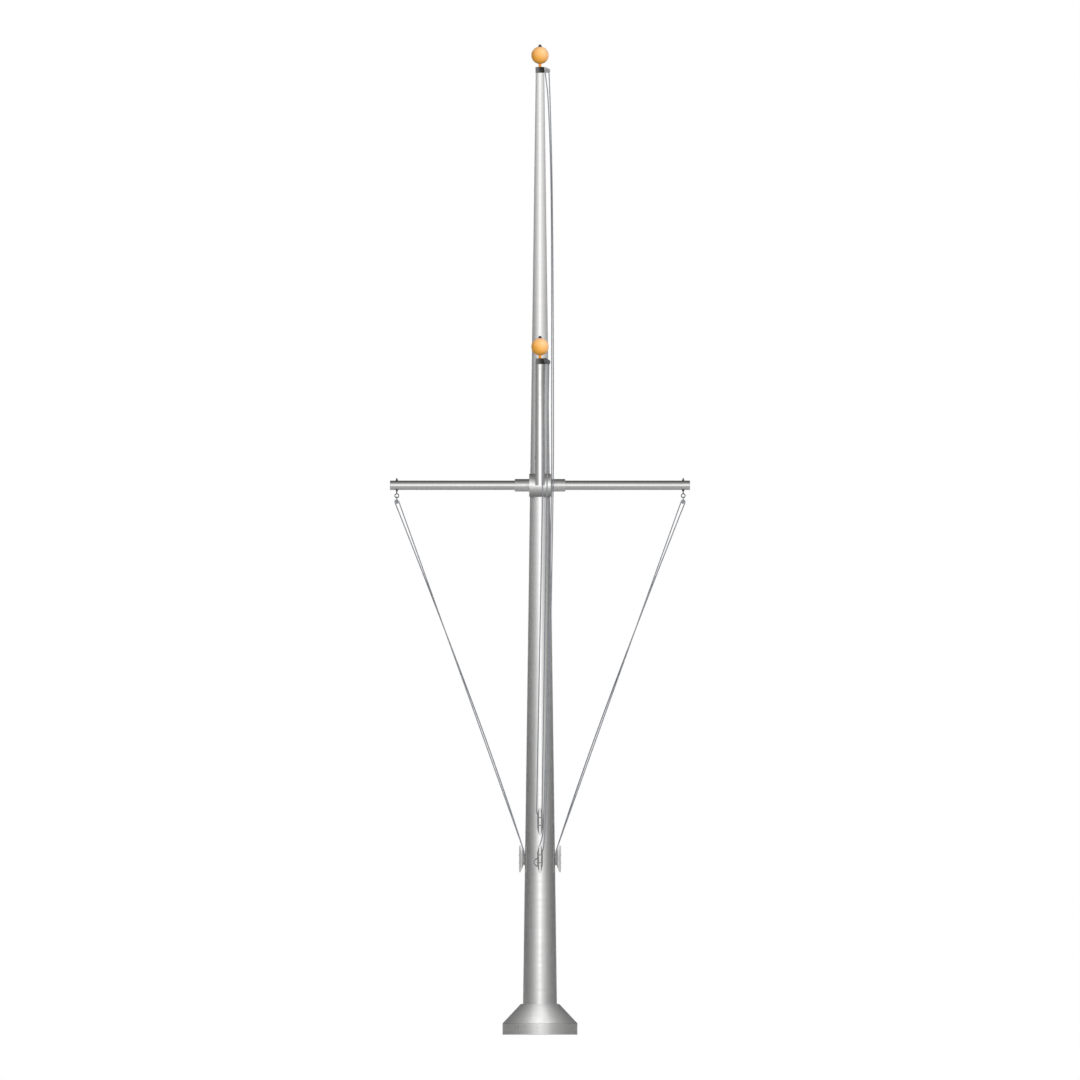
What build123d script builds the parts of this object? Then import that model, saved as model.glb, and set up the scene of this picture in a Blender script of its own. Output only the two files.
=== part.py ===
from build123d import *
import math
import os

# A nautical flagpole: a tapered pole with a flash collar at the ground, a yard crossed on it,
# a gaff that rises towards -Y, two gold balls and four halyards belayed on cleats.
# Millimetres, +Z up, origin on the pole's axis at the ground. Port is -X, starboard is +X.

# ---------------------------------------------------------------- driving dimensions
# Clearances
SEAT = 0.3              # between curved faces that seat on each other
RUNNING = 0.05          # radial clearance of a shaft in its hole
SIDE_PLAY = 1.0         # at each side of a sheave

# Pole
BUTT_DIA = 297.0        # outside, at the ground
TOP_DIA = 73.0          # outside, under the truck
POLE_WALL = 6.0
POLE_HEIGHT = 8177.0    # ground to the truck's seat

# Base plate and flash collar
PLATE_DIA = 500.0
PLATE_THICK = 25.0
ANCHOR_CIRCLE = 420.0
ANCHOR_HOLE_DIA = 28.0
ANCHOR_COUNT = 4
COLLAR_DIA = 637.0
COLLAR_SKIRT = 97.0     # height of the upright skirt
COLLAR_HEIGHT = 262.0
COLLAR_STEP = 16.5      # from the pole's outside at the ground to the collar's top edge
COLLAR_SHEET = 3.0

# Yard and the fitting that crosses it on the pole
YARD_HEIGHT = 4670.0
HUB_HEIGHT = 195.0      # of the block that the pole passes through
HUB_SIDE_WALL = 7.5     # at each side of the pole, along the yard
HUB_EDGE_WALL = 9.5     # before and behind the pole, at the block's top and bottom
HUB_BOW = 30.0          # how much further its bowed faces stand out at the yard's height
SOCKET_DIA = 107.0
SOCKET_LENGTH = 122.0   # from the block's side to a socket's mouth
YARD_DIA = 80.0
YARD_WALL = 3.0
YARD_REACH = 1275.0     # from the pole's axis to the yard's end
YARD_CAP_THICK = 4.0
YARD_CAP_DEPTH = 20.0   # of the spigot inside the yard

# Gaff
GAFF_ANGLE = 45.0       # from level
GAFF_FOOT_DIA = 82.0
GAFF_TIP_DIA = 76.0
GAFF_WALL = 4.0
GAFF_STANDOFF = 130.0   # from the pole's axis to the gaff's axis, at the yard's height
GAFF_TIP_HEIGHT = 5700.0
SPIGOT_LENGTH = 330.0
SET_SCREW_DIA = 10.0
SET_SCREW_LENGTH = 18.0 # under its head
SET_SCREW_HEAD = 16.0
SET_SCREW_HEAD_THICK = 4.0
SET_SCREW_HEIGHT = 4904.0

# Trucks, sheaves and blocks
TRUCK_DIA = 77.0
TRUCK_HEIGHT = 49.0
TRUCK_TOP_DIA = 71.0    # of the gaff's truck, which narrows upwards
TRUCK_SHANK = 60.0      # length of the shank inside the tube
ROPE_DIA = 10.0
SHEAVE_TURN = 15.0      # radius of the rope's centre line on a sheave
SHEAVE_RIM = 3.0        # how far the rim stands past the rope's centre line
GROOVE_FLARE = 0.6      # how much the groove widens at each side by the rim
SHEAVE_WIDTH = 14.0
SHEAVE_REACH = 59.0     # from a truck's axis to its sheave's axis
SHEAVE_LIFT = 16.0      # from a truck's seat to its sheave's axis
PIN_DIA = 6.0
PIN_HEAD_DIA = 10.0
PIN_HEAD_THICK = 2.0
CHEEK_THICK = 4.0
GUARD_THICK = 3.0
HOUSE_ROOT = 34.0       # from a sheave's axis back to the end of its house in the truck
HOUSE_NOSE = 29.0       # from a sheave's axis out to the house's nose
HOUSE_FOOT = 5.0        # from the truck's seat to the house's underside
HOUSE_CROWN = 5.0       # from a sheave's axis back to where the house's top starts to fall
NOSE_TOP = 25.0         # heights above the truck's seat
NOSE_FOOT = 7.0
NOSE_CHAMFER = 6.0
SLOT_DEPTH = 12.0       # how far the sheave's slot reaches below the truck's seat
SLOT_LEAD = 3.5         # between the rope's inner run and the slot's end
WINDOW_INNER = 9.0      # radii of the window in the main truck's front cheek, about its sheave's axis
WINDOW_OUTER = 21.0
WINDOW_SPOKE = 8.0
GAFF_SHEAVE_TILT = 15.0  # towards the cleat that the gaff's halyard leads to

# Balls on their spindles
BALL_DIA = 148.0
BALL_WALL = 2.0
BALL_LAP = 8.0          # depth of the lower half's lip inside the upper half
STEM_DIA = 27.0
STEM_HEIGHT = 25.0      # from the truck to the ball
SPINDLE_DIA = 12.0
TANG_DIA = 16.0         # of the spindle's foot in the truck
TANG_DEPTH = 24.0
NUT_FOOT_DIA = 34.0
NUT_TOP_DIA = 19.0
NUT_HEIGHT = 18.0
NUT_SKIRT = 4.0         # how far the nut's foot reaches down over the ball

# Eye bolts under the yard's ends
EYE_REACH = 1217.0      # from the pole's axis to an eye bolt
EYE_DROP = 89.3         # from the yard's axis to the eye's centre
EYE_RADIUS = 16.5       # centre line of the eye
EYE_WIRE = 8.0
EYE_SHANK_DIA = 10.0
EYE_SHANK_TIP = 22.0    # above the yard's top
HEX_FLATS = 17.0
HEX_HEIGHT = 10.0
BLOCK_DROP = 51.7       # from the eye's centre to the block's sheave
SHACKLE_BAR = 6.0
SHACKLE_EYE_DIA = 13.0
SHACKLE_EYE_THICK = 6.6
SHACKLE_CROWN = 0.98    # radius of the crown's bends, as a share of half its spread

# Cleats
CLEAT_LENGTH = 227.0
CLEAT_WIDTH = 52.0
CLEAT_TIP_WIDTH = 18.0
CLEAT_CREST = 15.0      # width of the flat crest
CLEAT_STANDOFF = 50.0   # from the pole to the crest
CLEAT_GAP = 13.0        # from the pole to the middle of the horns' underside
CLEAT_WAIST = 28.0      # from the pole to the widest part
CLEAT_FLAT = 112.0      # length of the level underside
CLEAT_TIP_THICK = 14.0
CLEAT_SHOULDER = 0.93   # width at the ends of the level underside, as a share of the middle's
CLEAT_UNDERSIDE = 0.75  # width of the underside, as a share of the widest part
SPACER_DIA = 20.0
SCREW_SPAN = 66.0
SCREW_DIA = 6.0
SCREW_HEAD_DIA = 11.0
SCREW_HEAD_THICK = 3.0
SCREW_BITE = 6.0        # past the pole's inner face
SIDE_CLEAT_HEIGHT = 1495.0
UPPER_CLEAT_HEIGHT = 1812.0
LOWER_CLEAT_HEIGHT = 1495.0

# ---------------------------------------------------------------- halyard routes
# Each runs from an end tucked between its cleat's spacers, up over its sheave and down again
# round the same spacers.
PORT_HALYARD = (
    (-134.6, 6.0, 1511.0), (-134.6, -7.0, 1511.0), (-134.6, -17.0, 1521.0),
    (-134.6, -17.0, 1557.0),
    (-1205.8, 0.0, 4542.3), (-1223.1, 0.0, 4545.3), (-1234.2, 0.0, 4531.6),
    (-1188.0, 1.0, 4413.0), (-904.6, 7.0, 3691.0), (-515.4, 11.0, 2671.0), (-277.0, 15.0, 1991.0),
    (-134.6, 17.0, 1557.0), (-134.6, 17.2, 1528.0),
    (-134.6, 17.0, 1455.0), (-134.6, 7.0, 1445.0), (-134.6, -7.0, 1445.0),
    (-134.6, -17.0, 1455.0), (-134.6, -17.0, 1469.0), (-134.6, -7.0, 1479.0),
    (-134.6, 6.0, 1479.0),
)
STARBOARD_HALYARD = (
    (134.6, 6.0, 1511.0), (134.6, -7.0, 1511.0), (134.6, -17.0, 1521.0),
    (134.6, -17.0, 1557.0),
    (1205.8, 0.0, 4542.3), (1223.1, 0.0, 4545.3), (1234.2, 0.0, 4531.6),
    (1188.0, 1.0, 4413.0), (904.6, 7.0, 3691.0), (515.4, 11.0, 2671.0), (277.0, 15.0, 1991.0),
    (134.6, 17.0, 1557.0), (134.6, 17.2, 1528.0),
    (134.6, 17.0, 1455.0), (134.6, 7.0, 1445.0), (134.6, -7.0, 1445.0),
    (134.6, -17.0, 1455.0), (134.6, -17.0, 1469.0), (134.6, -7.0, 1479.0),
    (134.6, 6.0, 1479.0),
)
GAFF_HALYARD = (
    (6.0, -130.3, 1828.0), (-7.0, -130.3, 1828.0), (-17.0, -130.3, 1838.0),
    (-17.0, -130.3, 1858.0), (-28.0, -131.5, 1893.0),
    (44.1, -1162.3, 5724.6), (59.3, -1164.5, 5732.8), (74.1, -1162.2, 5724.2),
    (17.0, -130.3, 1870.0), (17.2, -130.3, 1841.0),
    (17.0, -130.3, 1772.0), (7.0, -130.3, 1762.0), (-7.0, -130.3, 1762.0),
    (-17.0, -130.3, 1772.0), (-17.0, -130.3, 1786.0), (-7.0, -130.3, 1796.0),
    (6.0, -130.3, 1796.0),
)
MAIN_HALYARD = (
    (6.0, -134.6, 1511.0), (-7.0, -134.6, 1511.0), (-17.0, -134.6, 1521.0),
    (-17.0, -134.6, 1545.0), (-2.0, -136.5, 1612.0), (27.0, -137.0, 1706.0),
    (33.0, -136.0, 1860.0), (50.0, -124.0, 2420.0), (76.0, -100.0, 3270.0),
    (100.0, -64.0, 4690.0), (99.0, -46.0, 5225.0), (100.0, -8.0, 7095.0),
    (73.0, -3.0, 7947.0),
    (43.1, 0.0, 8200.1), (57.6, 0.0, 8210.4), (73.5, 0.0, 8202.6),
    (86.0, -3.0, 7947.0), (108.0, -20.0, 7095.0), (115.5, -46.0, 5225.0),
    (113.0, -64.0, 4690.0), (89.0, -100.0, 3270.0), (66.0, -124.0, 2420.0),
    (47.0, -136.0, 1860.0), (40.0, -136.0, 1700.0), (30.0, -135.2, 1590.0),
    (17.0, -134.6, 1541.0), (17.0, -134.9, 1452.0), (-2.5, -135.7, 1432.5),
    (-30.0, -132.9, 1432.5), (-49.5, -127.5, 1452.0), (-49.5, -127.1, 1479.5),
    (-30.0, -132.0, 1499.0), (-3.0, -134.6, 1499.0),
)

# ---------------------------------------------------------------- worked-out sizes
BUTT_RADIUS = BUTT_DIA / 2
TOP_RADIUS = TOP_DIA / 2
YARD_RADIUS = YARD_DIA / 2
TRUCK_RADIUS = TRUCK_DIA / 2
BALL_RADIUS = BALL_DIA / 2
SLOT_WIDTH = SHEAVE_WIDTH + 2 * SIDE_PLAY
TAPER = (BUTT_RADIUS - TOP_RADIUS) / POLE_HEIGHT
GAFF_TIP_Y = -GAFF_STANDOFF - (GAFF_TIP_HEIGHT - YARD_HEIGHT) / math.tan(math.radians(GAFF_ANGLE))
EYE_HEIGHT = YARD_HEIGHT - EYE_DROP
FRONT, PORT, STARBOARD = 0, -90, 90     # turn about Z of a cleat made facing -Y


def pole_radius(height):
    """Outside radius of the pole at a height."""
    return BUTT_RADIUS - TAPER * height


def turned(*points):
    """Solid of revolution about Z from (radius, height) points."""
    return revolve(Plane.XZ * make_face(Polyline(*points, close=True)), Axis.Z)


def rod(radius, length, middle=(0, 0, 0)):
    """Round bar along Y about its middle."""
    return Pos(*middle) * Rot(90, 0, 0) * Cylinder(radius, length)


def upright(radius, low, high, x=0.0, y=0.0):
    """Round bar along Z between two heights."""
    return Pos(x, y, (low + high) / 2) * Cylinder(radius, high - low)


def pole_cone(growth, low, high):
    """The pole's outside, grown by a clearance, between two heights."""
    return turned((0, low), (pole_radius(low) + growth, low), (pole_radius(high) + growth, high), (0, high))


# ---------------------------------------------------------------- pole and base
def base_plate():
    plate = upright(PLATE_DIA / 2, 0, PLATE_THICK)
    for spot in PolarLocations(ANCHOR_CIRCLE / 2, ANCHOR_COUNT, start_angle=45):
        plate -= spot * upright(ANCHOR_HOLE_DIA / 2, 0, PLATE_THICK)
    return plate


def pole_shaft():
    low, high = pole_radius(PLATE_THICK), TOP_RADIUS
    shaft = turned((low - POLE_WALL, PLATE_THICK), (low, PLATE_THICK),
                   (high, POLE_HEIGHT), (high - POLE_WALL, POLE_HEIGHT))
    for height, turn in CLEAT_SEATS.values():
        for screw in screw_heights(height):
            shaft -= Rot(0, 0, turn) * rod(SCREW_DIA / 2 + RUNNING, BUTT_DIA / 2, (0, -BUTT_DIA / 2, screw))
    return shaft


def flash_collar():
    skirt, top = COLLAR_DIA / 2, BUTT_RADIUS + COLLAR_STEP
    slope = math.atan2(COLLAR_HEIGHT - COLLAR_SKIRT, skirt - top)
    inset = COLLAR_SHEET * math.tan(slope / 2)
    under = COLLAR_HEIGHT - COLLAR_SHEET
    throat = pole_radius(under) + SEAT
    return turned((skirt - COLLAR_SHEET, 0), (skirt, 0), (skirt, COLLAR_SKIRT), (top, COLLAR_HEIGHT),
                  (throat, COLLAR_HEIGHT), (throat, under), (top - inset, under),
                  (skirt - COLLAR_SHEET, COLLAR_SKIRT - inset))


# ---------------------------------------------------------------- trucks, balls and sheaves
def sheave_house(reach):
    """Closed cheeks and guard round a sheave, before its slot: about the truck's axis, on its seat."""
    root, nose = reach - HOUSE_ROOT, reach + HOUSE_NOSE
    outline = Polyline((root, HOUSE_FOOT), (root, TRUCK_HEIGHT), (reach - HOUSE_CROWN, TRUCK_HEIGHT),
                       (nose, NOSE_TOP), (nose, NOSE_FOOT), (nose - NOSE_CHAMFER, NOSE_FOOT - HOUSE_FOOT),
                       close=True)
    return extrude(Plane.XZ * make_face(outline), SLOT_WIDTH / 2 + CHEEK_THICK, both=True)


def sheave_slot(reach):
    """Slot that the sheave and its rope run in, open below."""
    inner = reach - SHEAVE_TURN - ROPE_DIA / 2 - SLOT_LEAD
    outer = reach + HOUSE_NOSE - GUARD_THICK
    roof = TRUCK_HEIGHT - GUARD_THICK
    outline = Polyline((inner, -SLOT_DEPTH), (inner, roof), (reach - HOUSE_CROWN - 1, roof),
                       (outer, NOSE_TOP - GUARD_THICK / 2), (outer, -SLOT_DEPTH), close=True)
    slot = extrude(Plane.XZ * make_face(outline), SLOT_WIDTH / 2, both=True)
    return slot + rod(PIN_DIA / 2 + RUNNING, 4 * SLOT_WIDTH, (reach, 0, SHEAVE_LIFT))


def sheave():
    """Grooved wheel about Y."""
    groove = ROPE_DIA / 2 + SEAT
    rim = SHEAVE_TURN + SHEAVE_RIM
    half = SHEAVE_WIDTH / 2
    bore = PIN_DIA / 2 + RUNNING
    blank = turned((bore, -half), (rim, -half), (rim, half), (bore, half))
    mouth = groove + GROOVE_FLARE
    throat = turned((SHEAVE_TURN, -groove), (rim, -mouth), (rim, mouth), (SHEAVE_TURN, groove))
    return Rot(90, 0, 0) * (blank - throat - Torus(SHEAVE_TURN, groove))


def sheave_pin(grip):
    """Pin along Y with a head at each end, over a grip."""
    pin = rod(PIN_DIA / 2, grip + 2 * PIN_HEAD_THICK)
    for side in (-1, 1):
        pin += rod(PIN_HEAD_DIA / 2, PIN_HEAD_THICK, (0, side * (grip / 2 + PIN_HEAD_THICK / 2), 0))
    return pin


def spindle():
    """Stem and rod that carry a ball, from the truck's top."""
    tang = upright(TANG_DIA / 2, -TANG_DEPTH, 0)
    stem = upright(STEM_DIA / 2, 0, STEM_HEIGHT - SEAT)
    rod_top = STEM_HEIGHT + BALL_DIA + NUT_HEIGHT / 2
    return tang + stem + upright(SPINDLE_DIA / 2, 0, rod_top)


def ball_half(upper):
    """Half of the spun ball about its own centre, the lower one with a lip inside the upper."""
    outer = Sphere(BALL_RADIUS) - Sphere(BALL_RADIUS - BALL_WALL)
    outer -= upright(SPINDLE_DIA / 2 + SEAT, -BALL_DIA, BALL_DIA)
    middle = BALL_RADIUS if upper else -BALL_RADIUS
    half = outer & (Pos(0, 0, middle) * Box(2 * BALL_DIA, 2 * BALL_DIA, BALL_DIA))
    if upper:
        return half
    radius = BALL_RADIUS - BALL_WALL - SEAT
    lip = Sphere(radius) - Sphere(radius - BALL_WALL)
    lip &= Box(2 * BALL_DIA, 2 * BALL_DIA, 2 * BALL_LAP)
    return half + lip + lip_web()


def lip_web():
    """Ring that joins the lower half's lip to its wall, below the seam."""
    radius = BALL_RADIUS - BALL_WALL
    ring = upright(radius + BALL_WALL / 2, -BALL_LAP, -SEAT) - upright(radius - BALL_WALL, -BALL_LAP, -SEAT)
    return ring & Sphere(BALL_RADIUS - BALL_WALL / 2)


def cap_nut():
    """Domed nut seated on the ball's top, about the ball's centre."""
    foot, top = NUT_FOOT_DIA / 2, NUT_TOP_DIA / 2
    low = BALL_RADIUS - NUT_SKIRT
    high = BALL_RADIUS + NUT_HEIGHT
    nut = turned((0, low), (foot, low), (foot, BALL_RADIUS), (top, high), (0, high))
    nut -= Sphere(BALL_RADIUS + SEAT)
    return nut - upright(SPINDLE_DIA / 2 + RUNNING, 0, BALL_RADIUS + NUT_HEIGHT / 2 + 1)


def rope_window():
    """Two curved slots through the front cheek, with a spoke between them that carries the pin."""
    ring = rod(WINDOW_OUTER, 2 * CHEEK_THICK) - rod(WINDOW_INNER, 2 * CHEEK_THICK)
    ring -= Box(WINDOW_SPOKE, 2 * CHEEK_THICK, 4 * WINDOW_OUTER)
    return Pos(SHEAVE_REACH, -(SLOT_WIDTH + CHEEK_THICK) / 2, SHEAVE_LIFT) * ring


def main_truck():
    head = upright(TRUCK_RADIUS, 0, TRUCK_HEIGHT)
    shank = upright(TOP_RADIUS - POLE_WALL - SEAT, -TRUCK_SHANK, 0)
    body = head + shank + sheave_house(SHEAVE_REACH) - sheave_slot(SHEAVE_REACH) - rope_window()
    body -= upright(TANG_DIA / 2 + RUNNING, TRUCK_HEIGHT - TANG_DEPTH - 1, TRUCK_HEIGHT)
    return Pos(0, 0, POLE_HEIGHT) * body


def tilted(solid):
    """A gaff sheave's part, turned towards its cleat about the sheave's axis height."""
    return Pos(0, 0, SHEAVE_LIFT) * Rot(GAFF_SHEAVE_TILT, 0, 0) * Pos(0, 0, -SHEAVE_LIFT) * solid


def gaff_truck():
    stretch = 1 / math.sin(math.radians(GAFF_ANGLE))
    seat = Ellipse(TRUCK_RADIUS, TRUCK_RADIUS * stretch)
    body = loft([seat, Pos(0, 0, TRUCK_HEIGHT) * Ellipse(TRUCK_TOP_DIA / 2, TRUCK_TOP_DIA / 2 + 0.01)])
    shank = Rot(90 - GAFF_ANGLE, 0, 0) * upright(GAFF_TIP_DIA / 2 - GAFF_WALL - SEAT, -TRUCK_SHANK, TRUCK_SHANK)
    shank &= Pos(0, 0, -TRUCK_SHANK) * Box(4 * TRUCK_DIA, 4 * TRUCK_DIA, 2 * TRUCK_SHANK)
    body += shank
    body += tilted(sheave_house(SHEAVE_REACH))
    body -= tilted(sheave_slot(SHEAVE_REACH))
    body -= upright(TANG_DIA / 2 + RUNNING, TRUCK_HEIGHT - TANG_DEPTH - 1, TRUCK_HEIGHT)
    return Pos(0, GAFF_TIP_Y, GAFF_TIP_HEIGHT) * body


# ---------------------------------------------------------------- yard
def hub_reach():
    """Half the length along the yard of the block that the pole passes through."""
    return pole_radius(YARD_HEIGHT) + HUB_SIDE_WALL


def hub_block(growth):
    """Block with bowed front and back, extruded along the yard."""
    edge = pole_radius(YARD_HEIGHT) + HUB_EDGE_WALL + growth
    bow, high = edge + HUB_BOW, HUB_HEIGHT / 2 + growth
    front = ThreePointArc((-edge, -high), (-bow, 0), (-edge, high))
    back = ThreePointArc((edge, high), (bow, 0), (edge, -high))
    top = Line((-edge, high), (edge, high))
    under = Line((edge, -high), (-edge, -high))
    outline = make_face(front.edges() + top.edges() + back.edges() + under.edges())
    return Pos(0, 0, YARD_HEIGHT) * extrude(Plane.YZ * outline, hub_reach() + growth, both=True)


def cross_fitting():
    start = hub_reach()
    mouth = start + SOCKET_LENGTH
    body = hub_block(0) + Pos(0, 0, YARD_HEIGHT) * Rot(0, 90, 0) * Cylinder(SOCKET_DIA / 2, 2 * mouth)
    bore = Cylinder(YARD_RADIUS + SEAT, SOCKET_LENGTH)
    for side in (-1, 1):
        body -= Pos(side * (mouth + start) / 2, 0, YARD_HEIGHT) * Rot(0, 90, 0) * bore
    return body - pole_cone(SEAT, YARD_HEIGHT - HUB_HEIGHT, YARD_HEIGHT + HUB_HEIGHT)


def yard_arm(side):
    start = hub_reach() + SEAT
    length = YARD_REACH - YARD_CAP_THICK - start
    tube = Cylinder(YARD_RADIUS, length) - Cylinder(YARD_RADIUS - YARD_WALL, length)
    tube = Pos(side * (start + length / 2), 0, YARD_HEIGHT) * Rot(0, 90, 0) * tube
    drop = YARD_HEIGHT - YARD_DIA
    return tube - upright(EYE_SHANK_DIA / 2 + RUNNING, drop, YARD_HEIGHT + YARD_DIA, side * EYE_REACH)


def yard_cap(side):
    lid = YARD_REACH - YARD_CAP_THICK / 2
    middle = YARD_REACH - YARD_CAP_THICK - YARD_CAP_DEPTH / 2
    disc = Pos(side * lid, 0, 0) * Rot(0, 90, 0) * Cylinder(YARD_RADIUS, YARD_CAP_THICK)
    plug = Cylinder(YARD_RADIUS - YARD_WALL - SEAT, YARD_CAP_DEPTH)
    return Pos(0, 0, YARD_HEIGHT) * (disc + Pos(side * middle, 0, 0) * Rot(0, 90, 0) * plug)


def eye_bolt(side):
    eye = Rot(90, 0, 0) * Torus(EYE_RADIUS, EYE_WIRE / 2)
    shank = upright(EYE_SHANK_DIA / 2, EYE_RADIUS, EYE_DROP + YARD_RADIUS + EYE_SHANK_TIP)
    return Pos(side * EYE_REACH, 0, EYE_HEIGHT) * (eye + shank)


def eye_bolt_nuts():
    """A nut over and a nut under each end of the yard."""
    nut = extrude(RegularPolygon(HEX_FLATS / 2, 6, major_radius=False), HEX_HEIGHT)
    nut -= upright(EYE_SHANK_DIA / 2 + RUNNING, 0, HEX_HEIGHT)
    nuts = []
    for side in (-1, 1):
        for level in (YARD_RADIUS + SEAT, -YARD_RADIUS - SEAT - HEX_HEIGHT):
            nuts.append(Pos(side * EYE_REACH, 0, YARD_HEIGHT + level) * nut)
    return Compound(children=nuts)


def shackle():
    """Bar over the eye's lower edge, with an eye at each foot for the pin."""
    spread = SLOT_WIDTH / 2 + SHACKLE_BAR / 2
    crown = EYE_WIRE / 2 + SHACKLE_BAR / 2 + SEAT - EYE_RADIUS
    path = FilletPolyline((0, -spread, -BLOCK_DROP), (0, -spread, crown), (0, spread, crown),
                          (0, spread, -BLOCK_DROP), radius=SHACKLE_CROWN * spread)
    bar = sweep(Plane((0, -spread, -BLOCK_DROP)) * Circle(SHACKLE_BAR / 2), path=path)
    for face in (-1, 1):
        bar += rod(SHACKLE_EYE_DIA / 2, SHACKLE_EYE_THICK, (0, face * spread, -BLOCK_DROP))
    return bar - rod(PIN_DIA / 2 + RUNNING, 4 * spread, (0, 0, -BLOCK_DROP))


# ---------------------------------------------------------------- gaff
def gaff_bar(foot, tip):
    """Round bar along the gaff's axis, cut level at the yard's height and at the gaff's tip."""
    rise = GAFF_TIP_HEIGHT - YARD_HEIGHT
    length = rise / math.sin(math.radians(GAFF_ANGLE))
    over = GAFF_FOOT_DIA
    grow = (foot - tip) / length * over
    bar = turned((0, -over), (foot + grow, -over), (tip - grow, length + over), (0, length + over))
    bar = Pos(0, -GAFF_STANDOFF, YARD_HEIGHT) * Rot(90 - GAFF_ANGLE, 0, 0) * bar
    room = 2 * length
    return bar & Pos(0, -room / 2, YARD_HEIGHT + rise / 2) * Box(room, 2 * room, rise)


def set_screw_hole(radius):
    reach = GAFF_FOOT_DIA
    y = -GAFF_STANDOFF - (SET_SCREW_HEIGHT - YARD_HEIGHT) / math.tan(math.radians(GAFF_ANGLE))
    return Pos(-reach / 2, y, SET_SCREW_HEIGHT) * Rot(0, 90, 0) * Cylinder(radius, reach)


def gaff_arm():
    foot, tip = GAFF_FOOT_DIA / 2, GAFF_TIP_DIA / 2
    tube = gaff_bar(foot, tip) - gaff_bar(foot - GAFF_WALL, tip - GAFF_WALL)
    return tube - hub_block(SEAT) - set_screw_hole(SET_SCREW_DIA / 2 + RUNNING)


def spigot_radius():
    length = (GAFF_TIP_HEIGHT - YARD_HEIGHT) / math.sin(math.radians(GAFF_ANGLE))
    narrowing = (GAFF_FOOT_DIA - GAFF_TIP_DIA) / 2 * SPIGOT_LENGTH / length
    return GAFF_FOOT_DIA / 2 - GAFF_WALL - narrowing - SEAT


def gaff_spigot():
    radius = spigot_radius()
    bar = Rot(90 - GAFF_ANGLE, 0, 0) * upright(radius, -GAFF_FOOT_DIA, SPIGOT_LENGTH)
    bar = Pos(0, -GAFF_STANDOFF, YARD_HEIGHT) * bar
    bar &= Pos(0, 0, YARD_HEIGHT + SPIGOT_LENGTH) * Box(4 * SPIGOT_LENGTH, 4 * SPIGOT_LENGTH, 2 * SPIGOT_LENGTH)
    return bar - hub_block(SEAT) - set_screw_hole(SET_SCREW_DIA / 2 + RUNNING)


def gaff_set_screw():
    y = -GAFF_STANDOFF - (SET_SCREW_HEIGHT - YARD_HEIGHT) / math.tan(math.radians(GAFF_ANGLE))
    face = -GAFF_FOOT_DIA / 2
    lap = SET_SCREW_HEAD_THICK / 2
    shank = Pos(SET_SCREW_LENGTH / 2, 0, 0) * Rot(0, 90, 0) * Cylinder(SET_SCREW_DIA / 2, SET_SCREW_LENGTH + lap)
    head = Pos(-lap, 0, 0) * Rot(0, 90, 0) * Cylinder(SET_SCREW_HEAD / 2, SET_SCREW_HEAD_THICK)
    return Pos(face, y, SET_SCREW_HEIGHT) * (shank + head)


# ---------------------------------------------------------------- cleats
CLEAT_SEATS = {
    "port_cleat": (SIDE_CLEAT_HEIGHT, PORT),
    "starboard_cleat": (SIDE_CLEAT_HEIGHT, STARBOARD),
    "upper_cleat": (UPPER_CLEAT_HEIGHT, FRONT),
    "lower_cleat": (LOWER_CLEAT_HEIGHT, FRONT),
}


def screw_heights(height):
    return (height - SCREW_SPAN / 2, height + SCREW_SPAN / 2)


def cleat_bar(height, turn):
    """Horned bar of a cleat, clear of the pole by the height of its spacers."""
    half, flat = CLEAT_LENGTH / 2, CLEAT_FLAT / 2
    crest, gap, waist = CLEAT_STANDOFF, CLEAT_GAP, CLEAT_WAIST
    under = crest - CLEAT_TIP_THICK
    side = Polyline((crest, -half), (crest, half), (under, half), (gap, flat), (gap, -flat), (under, -half),
                    close=True)
    wide, tip = CLEAT_WIDTH / 2, CLEAT_TIP_WIDTH / 2
    shoulder, sole = CLEAT_SHOULDER * wide, CLEAT_UNDERSIDE * wide
    plan = Polyline((-tip, half), (tip, half), (shoulder, flat), (wide, 0), (shoulder, -flat), (tip, -half),
                    (-tip, -half), (-shoulder, -flat), (-wide, 0), (-shoulder, flat), close=True)
    ridge = CLEAT_CREST / 2
    section = Polyline((-ridge, crest), (ridge, crest), (wide, waist), (sole, gap),
                       (-sole, gap), (-wide, waist), close=True)
    bar = extrude(Plane.XZ * make_face(plan), CLEAT_STANDOFF)
    beside = Plane((0, 0, 0), x_dir=(0, -1, 0), z_dir=(1, 0, 0))
    bar &= extrude(beside * make_face(side), CLEAT_WIDTH, both=True)
    bar &= extrude(Rot(0, 0, 180) * make_face(section), CLEAT_LENGTH, both=True)
    for spot in (-SCREW_SPAN / 2, SCREW_SPAN / 2):
        bar -= rod(SCREW_DIA / 2 + RUNNING, 4 * CLEAT_STANDOFF, (0, 0, spot))
    return Rot(0, 0, turn) * Pos(0, -pole_radius(height), height) * bar


def spacer(height, turn, screw):
    """Round spacer under a cleat, hollowed to the pole."""
    seat = pole_radius(height)
    bush = rod(SPACER_DIA / 2, 2 * CLEAT_GAP, (0, -seat, screw)) - rod(SCREW_DIA / 2 + RUNNING, 4 * CLEAT_GAP,
                                                                       (0, -seat, screw))
    return Rot(0, 0, turn) * (bush - pole_cone(SEAT, screw - SPACER_DIA, screw + SPACER_DIA))


def screw(height, turn, level):
    """Screw through a cleat, its spacer and the pole's wall."""
    crest = pole_radius(height) + CLEAT_STANDOFF
    tip = pole_radius(height) - POLE_WALL - SCREW_BITE
    shank = rod(SCREW_DIA / 2, crest - tip, (0, -(crest + tip) / 2, level))
    head = rod(SCREW_HEAD_DIA / 2, SCREW_HEAD_THICK, (0, -crest - SCREW_HEAD_THICK / 2, level))
    return Rot(0, 0, turn) * (shank + head)


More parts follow.
